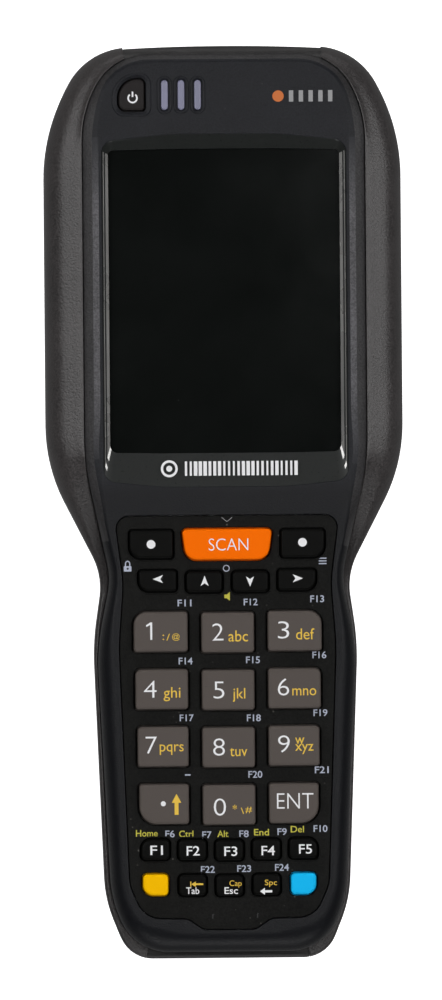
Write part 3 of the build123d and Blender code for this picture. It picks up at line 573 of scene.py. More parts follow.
class Finish(Enum):
    """Every finish on the terminal, by its use."""

    COVER = Moulded("cover_plastic", linear(27, 28, 32), 0.44, 0.45, 0.08, 0.4, 0.16, 0.16, 0.58)
    # The bevel: the same cover plastic painted lighter, a painted highlight.
    EDGE = Moulded("bevel_painted_highlight", linear(50, 49, 50), 0.42, 0.45, 0.08, 0.45, 0.14, 0.22)
    # The strips beside the display: the cover plastic painted light, a painted highlight that fades out at
    # its ends.
    SIDE_STRIP_PAINTED_HIGHLIGHT = Moulded(
        "side_strip_painted_highlight", linear(82, 81, 84), 0.42, 0.5, 0.10, 0.5, 0.14, 0.2, fade_to=linear(33, 34, 38)
    )
    SLOPE = Moulded("recess_slope", linear(33, 35, 34), 0.34, 0.5, 0.01, 0.06, gloss=0.22)
    BUMPER = Moulded("bumper_rubber", linear(56, 53, 53), 0.42, 0.5, 0.10, 0.5, 0.12, 0.55)
    NOSE = Moulded("end_rubber", linear(36, 35, 35), 0.50, 0.42, 0.05, 0.3, gloss=0.4)
    HOUSING = Moulded("housing_plastic", linear(38, 38, 40), 0.50, 0.45, 0.07, 0.25, gloss=0.22)
    MAT = Moulded("mat_rubber", linear(24, 24, 23), 0.62, 0.4, 0.06, 0.45, 0.9, 0.06)
    NUMBER_KEY = Moulded("number_key", linear(84, 77, 73), 0.48, 0.12, 0.006, 0.03, gloss=0.15)
    BLACK_KEY = Moulded("black_key", linear(12, 12, 11), 0.36, 0.12, 0.004, 0.08, gloss=0.04)
    ORANGE_KEY = Moulded("orange_key", linear(255, 112, 0), 0.50, 0.12, 0.004, 0.02, gloss=0.03)
    YELLOW_KEY = Moulded("yellow_key", linear(255, 194, 0), 0.50, 0.12, 0.004, 0.02, gloss=0.03)
    BLUE_KEY = Moulded("blue_key", linear(24, 190, 250), 0.50, 0.12, 0.004, 0.02, gloss=0.03)
    POWER_KEY = Moulded("power_key", linear(34, 31, 31), 0.50, 0.14, 0.006, 0.10, gloss=0.12)
    GLASS = Polished("display_glass", linear(16, 18, 17), 0.05, 0.35)
    # The recess slopes are glossy black plastic; this light colour is a painted reflection of the lamps.
    SLOPE_PAINTED_HIGHLIGHT = Polished("slope_painted_highlight", linear(168, 167, 165), 0.22, 0.0, 0.6)
    SCAN_GLASS = Polished("scan_glass", linear(60, 12, 14), 0.05)
    LIGHT = Polished("light_pipe", linear(118, 118, 142), 0.25)
    DARK_PART = Moulded("dark_part", linear(24, 24, 25), 0.45, 0.2, 0.01, 0.1)
    STEEL = Metal("steel", (0.56, 0.56, 0.57), 0.28)
    GOLD = Metal("contact_gold", (0.83, 0.62, 0.26), 0.25)
    ALUMINIUM = Metal("cast_metal", (0.62, 0.62, 0.63), 0.45, (8.0, 8.0, 8.0))
    BOARD = Moulded("circuit_board", (0.015, 0.09, 0.035), 0.35, 0.6, 0.02, 0.2)
    WHITE_INK = Moulded("white_ink", linear(236, 236, 238), 0.6, 0.1, 0.002, 0.03)
    YELLOW_INK = Moulded("yellow_ink", linear(232, 192, 62), 0.6, 0.1, 0.002, 0.04)
    GREEN_INK = Moulded("lime_ink", linear(200, 192, 62), 0.6, 0.1, 0.002, 0.04)
    GREY_INK = Moulded("pale_ink", linear(176, 182, 200), 0.6, 0.1, 0.002, 0.04)
    ORANGE_INK = Moulded("orange_ink", linear(200, 106, 40), 0.6, 0.1, 0.002, 0.04)
    LABEL = Moulded("label_stock", linear(196, 196, 192), 0.5, 0.3, 0.01, 0.04)
    DIM_INK = Moulded("dim_ink", linear(150, 150, 152), 0.6, 0.1, 0.002, 0.04)

    def material(self) -> bpy.types.Material:
        """The one material of this finish, made when it is first asked for."""
        return bpy.data.materials.get(self.value.name + "_finish") or self.value.material()


# ---------------------------------------------------------------- case outlines
BODY_HALF: list[Corner] = [
    ((31.0, 105.0), 16), ((41.1, 86.0), 44), ((41.1, 8.6), 40),
    ((28.2, -16.9), 16), ((30.5, -32.5), 60), ((28.2, -92.0), 30), ((22.8, -105.4), 8),
]
COVER_HALF: list[Corner] = [
    ((25.5, 103.1), 14), ((32.5, 89.5), 26), ((32.5, 9.0), 60),
    ((26.6, -17.5), 17), ((29.8, -33.6), 50), ((27.0, -91.0), 28), ((22.0, -103.5), 12),
]
MAT_HALF: list[Corner] = [
    ((25.9, -3.0), 3), ((23.9, -18.5), 30), ((25.0, -33.0), 60), ((23.0, -88.0), 10),
    ((19.6, -95.6), 6), ((9.6, -95.8), 3), ((6.0, -98.3), 3),
]
RECESS_HALF: list[Corner] = [
    ((12.0, 84.6), 60), ((28.1, 83.0), 3), ((28.1, 5.0), 3), ((14.0, 3.6), 60)
]
WINDOW_HALF: list[Corner] = [
    ((12.0, 81.3), 60), ((26.6, 81.0), 1.2), ((26.6, 11.5), 1.8), ((14.0, 11.3), 60)
]


class CoverMark(IntEnum):
    """The places of the front cover's finishes in its list of materials."""

    PLAIN = 0
    BEVEL = 1
    SLOPE = 2
    # painted reflection on the long sides of the display recess
    PAINTED_HIGHLIGHT_SLOPE = 3
    # painted highlight on the strips beside the display
    STRIP = 4


@dataclass
class FrontCover:
    """The front cover: bevelled round the head, softly rounded on the handle."""

    face_z: float = 41.0
    roof_z: float = 39.0
    low_z: float = 24.0
    wall: float = 3.0
    foot_z: float = 39.6
    head_profile: Sequence[tuple[float, float]] = (
        (0, 24), (0, 38.9), (0.10, 39.3), (0.35, 39.62), (1.1, 40.02), (1.9, 40.42),
        (2.25, 40.58), (2.6, 40.7), (3.15, 40.87), (3.7, 41.0),
    )
    handle_profile: Sequence[tuple[float, float]] = (
        (0, 24), (0, 35.2), (0.25, 37.0), (0.75, 38.45), (1.45, 39.5), (2.2, 40.2),
        (2.9, 40.62), (3.5, 40.86), (4.0, 40.97), (4.4, 41.0),
    )
    rim: float = 0.3
    bevel_end_y: float = -10.0
    bevel_levels: int = 6
    strip_x: float = 31.0
    strip_y: tuple[float, float] = (9.0, 84.0)
    recess_rim: float = 0.2
    light_x: tuple[float, ...] = (-13.5, -9.7, -5.9)
    light_y: float = 93.6

    def __post_init__(self) -> None:
        """Samples the outer edge and measures how far in from it the openings lie."""
        self.edge = Outline.mirrored(COVER_HALF, 24).spaced(1.2)
        mat, recess = Outline.mirrored(MAT_HALF, 8, 2.0), Outline.mirrored(RECESS_HALF, 8)
        self.room = np.minimum(self.edge.room_to(mat), self.edge.room_to(recess))

    def power_outline(self, grow: float) -> Outline:
        """The power button's outline, grown by a margin."""
        return KeyCap.of("power_button").outline((4.2, 1.2, 0.7, 1.6), grow=grow)

    def light_outline(self, x: float, grow: float) -> Outline:
        """The outline of an indicator slot, grown by a margin."""
        half_w, half_h = 0.85 + grow, 3.5 + grow
        corners = [(-half_w, half_h), (half_w, half_h), (half_w, -half_h), (-half_w, -half_h)]
        radius = half_w - 0.02
        y = self.light_y
        return Outline.rounded([((x + a, y + b), radius) for a, b in corners], 5)

    def outer_loops(self, shell: Shell) -> list[list[int]]:
        """The loops of the outside, from the parting line to the flat face.

        Args:
            shell: the mesh being built.

        Returns:
            The loops, lowest first.
        """
        y = self.edge.points[:, 1]
        head = smooth_step(-12.0, 4.0, y)
        full = self.head_profile[-1][0] * head + self.handle_profile[-1][0] * (1 - head)
        widest = 1.35 - 0.35 * head
        stretch = np.clip((self.room - self.rim - 0.4) / full, 0.1, widest)
        stretch *= 1 - 0.45 * smooth_step(94, 103, y)
        stretch = eased(stretch, 5)
        loops = []
        for (head_in, head_z), (handle_in, handle_z) in zip(self.head_profile, self.handle_profile):
            depth = (head_in * head + handle_in * (1 - head)) * stretch
            loops.append(shell.loop(self.edge.inset(depth), head_z * head + handle_z * (1 - head)))
        return loops

    def edge_mark(self, level: int, x: float, y: float) -> CoverMark:
        """The finish of one face of the outside.

        Args:
            level: how many loops it is above the parting line.
            x: its place across.
            y: its place along.

        Returns:
            The bevel's painted highlight round the head, the strips' painted highlight beside the display,
            else plain.
        """
        if level == 0 or y < self.bevel_end_y:
            return CoverMark.PLAIN
        # the bevel faces take the bevel's painted highlight
        if level < self.bevel_levels:
            return CoverMark.BEVEL
        # the strips beside the display carry the painted highlight
        beside_display = abs(x) > self.strip_x and self.strip_y[0] < y < self.strip_y[1]
        return CoverMark.STRIP if beside_display else CoverMark.PLAIN

    def opening(
        self, shell: Shell, outline: Outline, lip: Sequence[tuple[float, float]]
    ) -> tuple[list[int], list[int]]:
        """Adds an opening whose lip goes from the face down to the roof's underside.

        Args:
            shell: the mesh being built.
            outline: the opening from above.
            lip: outward distance and height of each of its loops.

        Returns:
            The first and the last loop.
        """
        loops = [shell.loop(outline.inset(-grow), z) for grow, z in lip]
        shell.stack(loops)
        return loops[0], loops[-1]

    def display_recess(self, shell: Shell) -> tuple[list[int], list[int]]:
        """Adds the sloping recess round the display, with a painted highlight in bands along parts of its
        long sides.

        Args:
            shell: the mesh being built.

        Returns:
            The loops at the face and at the roof's underside.
        """
        face = self.face_z
        recess, window = Outline.mirrored(RECESS_HALF, 8), Outline.mirrored(WINDOW_HALF, 8)
        rim = [
            shell.loop(recess.inset(-0.28), face),
            shell.loop(recess.inset(-0.1), face - 0.04),
            shell.loop(recess.points, face - self.recess_rim),
        ]
        shell.stack(rim)
        outer, inner = recess.points, window.points
        slope = [rim[-1]]
        for share in (0.2, 0.34, 0.56, 1.0):
            z = (face - self.recess_rim) + share * (self.foot_z - face + self.recess_rim)
            slope.append(shell.loop(outer + (inner - outer) * share, z))
        foot = shell.loop(inner, self.roof_z)
        side = [abs(n[0]) > 0.8 and abs(p[1] - 46) < 34.2 for n, p in zip(window.normals, inner)]
        long_side = [here and after for here, after in zip(side, [*side[1:], side[0]])]
        # the second and fourth bands of the long sides get the painted reflection
        for a, b, lit in zip(slope, slope[1:], (False, True, False, True)):
            marks = [CoverMark.PAINTED_HIGHLIGHT_SLOPE if lit and edge else CoverMark.SLOPE for edge in long_side]
            shell.strip(a, b, marks)
        shell.strip(slope[-1], foot, CoverMark.SLOPE)
        return rim[0], foot

    def build(self) -> bpy.types.Object:
        """Makes the cover with its openings, as one closed shell."""
        shell = Shell()
        outside = self.outer_loops(shell)
        for level, (a, b) in enumerate(zip(outside, outside[1:])):
            shell.strip(a, b, [self.edge_mark(level, x, y) for x, y in self.edge.points])
        face, roof = self.face_z, self.roof_z
        soft_lip = [(0.3, face), (0.1, face - 0.05), (0.0, face - 0.25), (0.0, roof)]
        power_lip = raised_lip(face, roof, 1.25, 0.85, 0.35, 0.22)
        light_lip = raised_lip(face, roof, 0.9, 0.6, 0.2, 0.2)
        openings = [
            self.opening(shell, Outline.mirrored(MAT_HALF, 8, 2.0), soft_lip),
            self.opening(shell, self.power_outline(0.35), power_lip),
            *[self.opening(shell, self.light_outline(x, 0.03), light_lip) for x in self.light_x],
            self.display_recess(shell),
        ]
        shell.cap(outside[-1], [top for top, _ in openings])

        wall = eased(np.clip(self.room - 0.5, 0.8, self.wall), 4)
        inner_low = shell.loop(self.edge.inset(wall), self.low_z)
        inner_high = shell.loop(self.edge.inset(wall), roof)
        shell.strip(outside[0], inner_low)
        shell.strip(inner_low, inner_high)
        shell.cap(inner_high, [bottom for _, bottom in openings])
        finishes = [Finish.COVER, Finish.EDGE, Finish.SLOPE, Finish.SLOPE_PAINTED_HIGHLIGHT, Finish.SIDE_STRIP_PAINTED_HIGHLIGHT]
        piece = shell.piece("front_cover_skin", [f.material() for f in finishes])
        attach(piece, "case")
        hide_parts("front_cover")
        return piece


def raised_lip(
    face: float, roof: float, outer: float, crest: float, inner: float, height: float
) -> list[tuple[float, float]]:
    """The lip of an opening that has a low rounded ridge round it.

    Args:
        face: height of the flat face.
        roof: height of the underside.
        outer: how far out the ridge starts.
        crest: how far out its top is.
        inner: how far out it ends.
        height: how high it stands.

    Returns:
        Pairs of outward distance and height, from the face to the underside.
    """
    half = height * 0.7
    return [
        (outer, face), ((outer + crest) / 2 + 0.04, face + half), (crest + 0.08, face + height),
        (crest - 0.08, face + height), ((crest + inner) / 2 - 0.04, face + half), (inner, face),
        (0.12, face - 0.02), (0.0, face - 0.15), (0.0, roof),
    ]


# ---------------------------------------------------------------- keys
@dataclass(frozen=True)
class KeyCap:
    """The place and size of a key cap: its middle, its size and the height of its top."""

    x: float
    y: float
    width: float
    height: float
    top: float

    @classmethod
    def of(cls, node: str) -> "KeyCap":
        """The cap of a key, from its frame node, without the flange that lies under the mat."""
        low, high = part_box(node)
        x, y = (low.x + high.x) / 2 / MM, (low.y + high.y) / 2 / MM
        width, height = (high.x - low.x) / MM - 2 * KEY_FLANGE, (high.y - low.y) / MM - 2 * KEY_FLANGE
        return cls(x, y, width, height, high.z / MM)

    def outline(
        self, corners: tuple[float, float, float, float], taper: float = 0.0, grow: float = 0.0
    ) -> Outline:
        """The cap's outline.

        Args:
            corners: corner radii, clockwise from the top left.
            taper: how much narrower each side is at the bottom.
            grow: margin added all round.

        Returns:
            The outline.
        """
        w, h = self.width / 2 + grow, self.height / 2 + grow
        points = [(-w, h), (w, h), (w - taper, -h), (-w + taper, -h)]
        return Outline.rounded(
            [((self.x + a, self.y + b), r + grow) for (a, b), r in zip(points, corners)], 7, 2.0
        )


@dataclass(frozen=True)
class Legend:
    """A printed word: its text, place, capital height, ink and optional width."""

    text: str
    x: float
    y: float
    cap: float
    ink: Finish
    width: float = 0.0


@dataclass(frozen=True)
class KeySpec:
    """One key: node, corner radii clockwise from the top left, finish and taper."""

    node: str
    corners: tuple[float, float, float, float]
    finish: Finish
    taper: float = 0.0

    def outline(self, grow: float = 0.0) -> Outline:
        """The key's outline from above, grown by a margin."""
        return KeyCap.of(self.node).outline(self.corners, self.taper, grow)


@dataclass
class Printer:
    """Makes thin printed marks that lie on a surface."""

    thickness: float = 0.03
    lift: float = 0.004
    text_half: float = 0.004
    cap_share: float = 0.0
    count: int = 0

    def text_mesh(self, text: str, thin: float) -> bpy.types.Mesh:
        """A flat closed mesh of some text, at font size one."""
        curve = bpy.data.curves.new("print", "FONT")
        curve.body = text
        curve.extrude = self.text_half
        curve.offset = thin
        curve.resolution_u = 4
        maker = bpy.data.objects.new("print", curve)
        bpy.context.scene.collection.objects.link(maker)
        graph = bpy.context.evaluated_depsgraph_get()
        mesh = bpy.data.meshes.new_from_object(maker.evaluated_get(graph))
        bpy.data.objects.remove(maker)
        bpy.data.curves.remove(curve)
        return mesh

    def capital(self) -> float:
        """The height of a capital letter at font size one."""
        if not self.cap_share:
            mesh = self.text_mesh("H", 0.0)
            heights = [v.co.y for v in mesh.vertices]
            self.cap_share = max(heights) - min(heights)
            bpy.data.meshes.remove(mesh)
        return self.cap_share

    def words(
        self, name: str, body: str, legends: Sequence[Legend], z: float, slot: str, thin: float = 0.0
    ) -> bpy.types.Object:
        """Prints some words of one ink as one piece.

        Args:
            name: the piece's name.
            body: the body it rides on.
            legends: the words.
            z: height of the surface.
            slot: not used.
            thin: how much the strokes are thickened, or thinned if negative.

        Returns:
            The printed piece.
        """
        work = bmesh.new()
        for legend in legends:
            mesh = self.text_mesh(legend.text, thin)
            points = np.array([v.co for v in mesh.vertices])
            low, high = points.min(0), points.max(0)
            size = legend.cap / self.capital()
            across = legend.width / (high[0] - low[0]) if legend.width else size
            middle = (low + high) / 2
            deep = self.thickness / (2 * self.text_half)
            place = Matrix.Diagonal((across * MM, size * MM, deep * MM, 1))
            shift = Matrix.Translation((-middle[0], -middle[1], self.text_half))
            lift = Matrix.Translation((legend.x * MM, legend.y * MM, (z + self.lift) * MM))
            mesh.transform(lift @ place @ shift)
            work.from_mesh(mesh)
            bpy.data.meshes.remove(mesh)
        mesh = bpy.data.meshes.new(name)
        work.to_mesh(mesh)
        work.free()
        return self.attach(finished_piece(name, mesh, [legends[0].ink.material()]), body, slot)

    def shapes(
        self, name: str, body: str, outlines: Sequence[np.ndarray], z: float, ink: Finish, slot: str
    ) -> bpy.types.Object:
        """Prints some closed flat shapes of one ink as one piece.

        Args:
            name: the piece's name.
            body: the body it rides on.
            outlines: the corner points of each shape; a pair of outlines makes a ring.
            z: height of the surface.
            ink: the ink.
            slot: not used.

        Returns:
            The printed piece.
        """
        shell = Shell()
        low, high = z + self.lift, z + self.lift + self.thickness
        for outline in outlines:
            rings = outline if isinstance(outline, tuple) else (outline,)
            bottoms = [shell.loop(np.asarray(ring, float), low) for ring in rings]
            tops = [shell.loop(np.asarray(ring, float), high) for ring in rings]
            for bottom, top in zip(bottoms, tops):
                shell.strip(bottom, top)
            shell.cap(bottoms[0], bottoms[1:])
            shell.cap(tops[0], tops[1:])
        return self.attach(shell.piece(name, [ink.material()]), body, slot)

    def attach(self, piece: bpy.types.Object, body: str, slot: str) -> bpy.types.Object:
        """Fixes a printed piece to its body."""
        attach(piece, body)
        self.count += 1
        return piece


def placed(points: Sequence[tuple[float, float]], x: float, y: float, turn: float = 0.0) -> np.ndarray:
    """Points turned by an angle in degrees and moved to a place."""
    return np.array([turned(np.array(p, float), math.radians(turn)) + (x, y) for p in points])


def rectangle(width: float, height: float) -> list[tuple[float, float]]:
    """The corners of an upright rectangle about its middle, clockwise from the top left."""
    x, y = width / 2, height / 2
    return [(-x, y), (x, y), (x, -y), (-x, -y)]


ARROWHEAD = [(-1.2, 0.0), (1.15, 0.92), (0.55, 0.0), (1.15, -0.92)]


@dataclass
class Keypad:
    """The keys and the rubber mat round them, with everything printed on them."""

    printer: Printer
    flange_low: float = 37.3
    flange_high: float = 38.3
    edge: float = 0.5
    mat_top: float = 40.6
    mat_low: float = 38.6
    gap: float = 0.35
    raised_rim: Sequence[tuple[float, float]] = ((0.75, 0.0), (0.62, 0.10), (0.5, 0.12), (0.4, 0.06))
    sunk_rim: Sequence[tuple[float, float]] = ((0.62, 0.0), (0.52, -0.02), (0.45, -0.06), (0.4, -0.12))
    specs: list[KeySpec] = field(default_factory=list)

    def __post_init__(self) -> None:
        """Lists the keys."""
        sharp, soft = 0.7, 1.0
        number, black = Finish.NUMBER_KEY, Finish.BLACK_KEY
        square, round_ = (sharp,) * 4, (soft,) * 4
        self.specs = [
            KeySpec("scan_key", (soft, soft, 2.8, 2.8), Finish.ORANGE_KEY, 1.0),
            KeySpec("soft_key_left", (sharp, sharp, sharp, 2.6), black),
            KeySpec("soft_key_right", (sharp, sharp, 2.6, sharp), black),
            KeySpec("arrow_left", (sharp, sharp, sharp, 2.4), black),
            KeySpec("arrow_up", round_, black),
            KeySpec("arrow_down", round_, black),
            KeySpec("arrow_right", (sharp, sharp, 2.4, sharp), black),
            KeySpec("key_1", (3.0, sharp, sharp, sharp), number),
            KeySpec("key_2", square, number),
            KeySpec("key_3", (sharp, 3.0, sharp, sharp), number),
            KeySpec("key_4", (1.4, sharp, sharp, sharp), number),
            KeySpec("key_5", square, number),
            KeySpec("key_6", (sharp, 1.4, sharp, sharp), number),
            KeySpec("key_7", (soft, sharp, sharp, sharp), number),
            KeySpec("key_8", square, number),
            KeySpec("key_9", (sharp, soft, sharp, sharp), number),
            KeySpec("key_point", (sharp, sharp, sharp, 4.0), number),
            KeySpec("key_0", square, number),
            KeySpec("key_enter", (sharp, sharp, 4.0, sharp), number),
            KeySpec("key_f1", (2.2, soft, soft, soft), black),
            KeySpec("key_f2", round_, black),
            KeySpec("key_f3", round_, black),
            KeySpec("key_f4", round_, black),
            KeySpec("key_f5", (soft, 2.2, soft, soft), black),
            KeySpec("key_yellow", (soft, soft, soft, 2.4), Finish.YELLOW_KEY),
            KeySpec("key_tab", round_, black),
            KeySpec("key_escape", round_, black),
            KeySpec("key_back", round_, black),
            KeySpec("key_blue", (soft, soft, 2.4, soft), Finish.BLUE_KEY),
        ]

    def cap(self, spec: KeySpec) -> bpy.types.Object:
        """Makes one key cap with a soft top edge and the flange that keeps it in the mat.

        Args:
            spec: the key.

        Returns:
            The key's piece, riding on its own body.
        """
        top = KeyCap.of(spec.node).top
        side, skirt = spec.outline(), spec.outline(KEY_FLANGE)
        shell = Shell()
        loops = [
            shell.loop(skirt.points, self.flange_low),
            shell.loop(skirt.points, self.flange_high),
            shell.loop(side.points, self.flange_high),
        ]
        for depth, drop in quarter_round(5):
            loops.append(shell.loop(side.inset(self.edge * depth), top - self.edge * drop))
        shell.stack(loops)
        shell.cap(loops[0])
        shell.cap(loops[-1])
        piece = shell.piece(spec.node + "_cap", [spec.finish.material()])
        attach(piece, spec.node)
        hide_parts(spec.node)
        return piece

    def finger_marks(self) -> None:
        """Makes the two small raised bars that let a finger find the middle key."""
        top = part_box("key_5")[1].z / MM
        shell = Shell()
        for x, y in ((-4.92, -42.26), (5.18, -42.06)):
            bar = placed(rectangle(0.9, 0.3), x, y)
            shell.prism(Outline.rounded([(c, 0.1) for c in bar], 3), top - 0.1, top + 0.1, 0.08)
        bars = shell.piece("key_5_bars", [Finish.NUMBER_KEY.material()])
        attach(bars, "key_5")

    def mat(self) -> bpy.types.Object:
        """Makes the rubber mat, with a low rim round each key opening."""
        shell = Shell()
        edge = Outline.mirrored(MAT_HALF, 8, 2.0)
        low = shell.loop(edge.inset(0.1), self.mat_low)
        side = shell.loop(edge.inset(0.1), self.mat_top - 0.3)
        shoulder = shell.loop(edge.inset(0.2), self.mat_top - 0.08)
        top = shell.loop(edge.inset(0.45), self.mat_top)
        shell.stack([low, side, shoulder, top])
        tops, bottoms = [], []
        for spec in self.specs:
            rim = self.raised_rim if spec.finish is Finish.BLACK_KEY else self.sunk_rim
            loops = [shell.loop(spec.outline(grow).points, self.mat_top + rise) for grow, rise in rim]
            hole = spec.outline(self.gap)
            loops.append(shell.loop(hole.points, self.mat_top - 0.25))
            loops.append(shell.loop(hole.points, self.mat_low))
            shell.stack(loops)
            tops.append(loops[0])
            bottoms.append(loops[-1])
        shell.cap(top, tops)
        shell.cap(low, bottoms)
        piece = shell.piece("keypad_mat_skin", [Finish.MAT.material()])
        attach(piece, "case")
        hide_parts("keypad_mat")
        return piece

    @staticmethod
    def stroke_change(cap: float) -> float:
        """How much printed strokes change: large signs are light, small ones bold."""
        return -0.012 if cap > 2.5 else 0.008

    def key_print(self) -> None:
        """Prints the numbers, letters and signs on the key caps."""
        white, yellow = Finish.WHITE_INK, Finish.YELLOW_INK
        words = {
            "key_1": ([], [
                (":", -14.8, -30.95, 1.8, 0.35), ("/", -13.7, -30.9, 1.5, 0.8),
                ("@", -11.92, -30.91, 1.2, 1.75),
            ]),
            "key_2": ([("2", -2.28, -29.84, 4.0, 2.6)], [("abc", 2.39, -30.78, 2.5, 4.5)]),
            "key_3": ([("3", 12.82, -29.48, 4.0, 2.6)], [("def", 17.79, -30.43, 2.5, 4.2)]),
            "key_4": ([("4", -17.93, -42.82, 4.0, 2.9)], [("ghi", -12.93, -44.00, 2.4, 3.9)]),
            "key_5": ([("5", -2.14, -43.16, 4.0, 2.5)], [("jkl", 2.46, -44.33, 2.4, 2.9)]),
            "key_6": ([("6", 12.69, -42.57, 4.0, 2.6)], [("mno", 17.47, -43.74, 2.4, 5.5)]),
            "key_7": ([("7", -17.78, -55.68, 4.0, 2.6)], [("pqrs", -13.1, -56.74, 2.4, 5.5)]),
            "key_8": ([("8", -2.23, -56.25, 4.0, 2.7)], [("tuv", 2.26, -57.42, 2.4, 4.0)]),
            "key_9": (
                [("9", 12.69, -55.66, 4.0, 2.7)],
                [("w", 16.34, -54.99, 2.3, 2.1), ("xyz", 17.38, -56.88, 2.3, 4.2)],
            ),
            "key_0": ([("0", -2.14, -70.02, 4.0, 2.8)], [
                ("*", 1.29, -70.08, 1.7, 1.0), ("\\", 3.02, -70.9, 1.4, 0.75),
                ("#", 4.46, -70.77, 1.4, 1.55),
            ]),
            "key_enter": ([("ENT", 15.18, -68.76, 3.65, 8.4)], []),
            "scan_key": ([("SCAN", 0.32, -9.74, 2.8, 9.1)], []),
            "key_f1": ([("F1", -16.73, -79.85, 2.1, 2.9)], []),
            "key_f2": ([("F2", -8.34, -80.05, 2.1, 3.0)], []),
            "key_f3": ([("F3", 0.3, -80.23, 2.1, 3.0)], []),
            "key_f4": ([("F4", 8.9, -80.13, 2.1, 3.1)], []),
            "key_f5": ([("F5", 17.48, -79.87, 2.1, 3.0)], []),
            "key_tab": ([("Tab", -8.52, -89.21, 1.5, 3.0)], []),
            "key_escape": ([("Esc", 0.33, -89.26, 1.5, 3.1)], [("Cap", 1.34, -87.77, 1.25, 2.8)]),
            "key_back": ([], [("Spc", 9.47, -87.67, 1.25, 2.8)]),
        }
        for node, (in_white, in_yellow) in words.items():
            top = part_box(node)[1].z / MM
            inks = ((white, "print_white", in_white), (yellow, "print_yellow", in_yellow))
            for ink, slot, rows in inks:
                if rows:
                    legends = [Legend(t, x, y, cap, ink, width) for t, x, y, cap, width in rows]
                    thin = 0.0 if ink is yellow else self.stroke_change(rows[0][3])
                    self.printer.words(f"{slot}_{node}", node, legends, top, slot, thin)

    def sign_print(self) -> None:
        """Prints the dots, arrowheads and arrows on the key caps."""
        white, yellow = Finish.WHITE_INK, Finish.YELLOW_INK
        arrow = [
            (-1.1, 0.35), (0.0, 2.4), (1.1, 0.35), (0.45, 0.35), (0.45, -2.4), (-0.45, -2.4),
            (-0.45, 0.35),
        ]
        slim = [
            (0.0, 1.4), (0.6, 0.3), (0.2, 0.3), (0.2, -1.4), (-0.2, -1.4), (-0.2, 0.3), (-0.6, 0.3)
        ]
        bar = rectangle(0.24, 1.2)
        one = [
            (0.3, 2.0), (0.72, 2.0), (0.72, -2.0), (0.26, -2.0), (0.26, 1.42), (-0.6, 0.95),
            (-0.74, 1.34),
        ]
        signs = [
            ("key_1", white, [placed(one, -18.07, -29.5)]),
            ("soft_key_left", white, [Outline.disc(-17.45, -9.59, 1.0).points]),
            ("soft_key_right", white, [Outline.disc(17.36, -9.39, 1.0).points]),
            ("arrow_left", white, [placed(ARROWHEAD, -15.93, -17.57)]),
            ("arrow_up", white, [placed(ARROWHEAD, -5.2, -18.08, -90)]),
            ("arrow_down", white, [placed(ARROWHEAD, 5.24, -18.27, 90)]),
            ("arrow_right", white, [placed(ARROWHEAD, 16.22, -17.65, 180)]),
            ("key_point", white, [Outline.disc(-15.13, -69.16, 0.58).points]),
            ("key_point", yellow, [placed(arrow, -12.09, -69.31)]),
            ("key_tab", yellow, [placed(slim, -7.5, -87.72, 90), placed(bar, -8.95, -87.72)]),
            ("key_back", white, [placed([(1.35 * x, y) for x, y in slim], 8.36, -89.5, 90)]),
        ]
        for node, ink, shapes in signs:
            slot = "print_white" if ink is white else "print_yellow"
            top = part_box(node)[1].z / MM
            self.printer.shapes(f"{slot}_{node}_sign", node, shapes, top, ink, slot)
        self.power_sign()

    def power_sign(self) -> None:
        """Prints the broken ring and its stem on the power button."""
        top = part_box("power_button")[1].z / MM
        x, y, half_gap = -20.85, 92.95, 38
        outer, inner = 1.2, 0.82
        angles = np.radians(np.linspace(90 - half_gap, -270 + half_gap, 30))
        ring = [(outer * math.cos(a), outer * math.sin(a)) for a in angles]
        ring += [(inner * math.cos(a), inner * math.sin(a)) for a in reversed(angles)]
        stem = [(-0.19, 1.5), (0.19, 1.5), (0.19, 0.25), (-0.19, 0.25)]
        shapes = [placed(ring, x, y), placed(stem, x, y)]
        self.printer.shapes(
            "print_white_power_button", "power_button", shapes, top, Finish.WHITE_INK, "print_white"
        )

    def mat_print(self) -> None:
        """Prints the pale and yellow words between the keys."""
        pale = [
            ("F11", -9.84, -23.12), ("F12", 5.37, -23.00), ("F13", 20.66, -22.41),
            ("F14", -9.7, -36.44), ("F15", 5.79, -36.32), ("F16", 21.06, -35.3),
            ("F17", -9.56, -49.53), ("F18", 5.88, -49.64), ("F19", 21.2, -48.6),
            ("F20", 6.12, -62.64), ("F21", 21.4, -61.7),
            ("F6", -13.61, -76.14), ("F7", -5.13, -76.43), ("F8", 3.4, -76.26),
            ("F9", 12.16, -75.86), ("F10", 21.0, -75.23),
            ("F22", -4.98, -84.38), ("F23", 3.37, -84.27), ("F24", 12.06, -84.06),
        ]
        words = [
            Legend(t, x, y, 1.5, Finish.GREY_INK, 3.2 if len(t) == 3 else 2.15) for t, x, y in pale
        ]
        z = self.mat_top
        self.printer.words("print_grey_mat", "case", words, z, "print_grey", 0.012)
        lime = [
            ("Home", -18.94, -75.96, 5.0), ("Ctrl", -9.88, -76.17, 3.3), ("Alt", -1.47, -76.23, 2.55),
            ("End", 7.43, -75.94, 3.45), ("Del", 15.67, -75.31, 3.05),
        ]
        words = [Legend(t, x, y, 1.45, Finish.GREEN_INK, width) for t, x, y, width in lime]
        self.printer.words("print_yellow_mat", "case", words, z, "print_yellow", 0.012)
        dash, menu_line = rectangle(1.3, 0.34), rectangle(1.8, 0.26)
        shackle = [
            (-0.62, 0.0), (-0.62, 0.75), (-0.38, 1.12), (0.0, 1.26), (0.38, 1.12), (0.62, 0.75),
            (0.62, 0.0), (0.36, 0.0), (0.36, 0.68), (0.2, 0.92), (0.0, 0.99), (-0.2, 0.92),
            (-0.36, 0.68), (-0.36, 0.0),
        ]
        padlock = Outline.rounded([((x, y - 0.625), 0.2) for x, y in rectangle(1.76, 1.25)], 3)
        keyhole = Outline.disc(0, -0.60, 0.24, 12)
        ring = Outline.disc(-0.17, -15.22, 0.78)
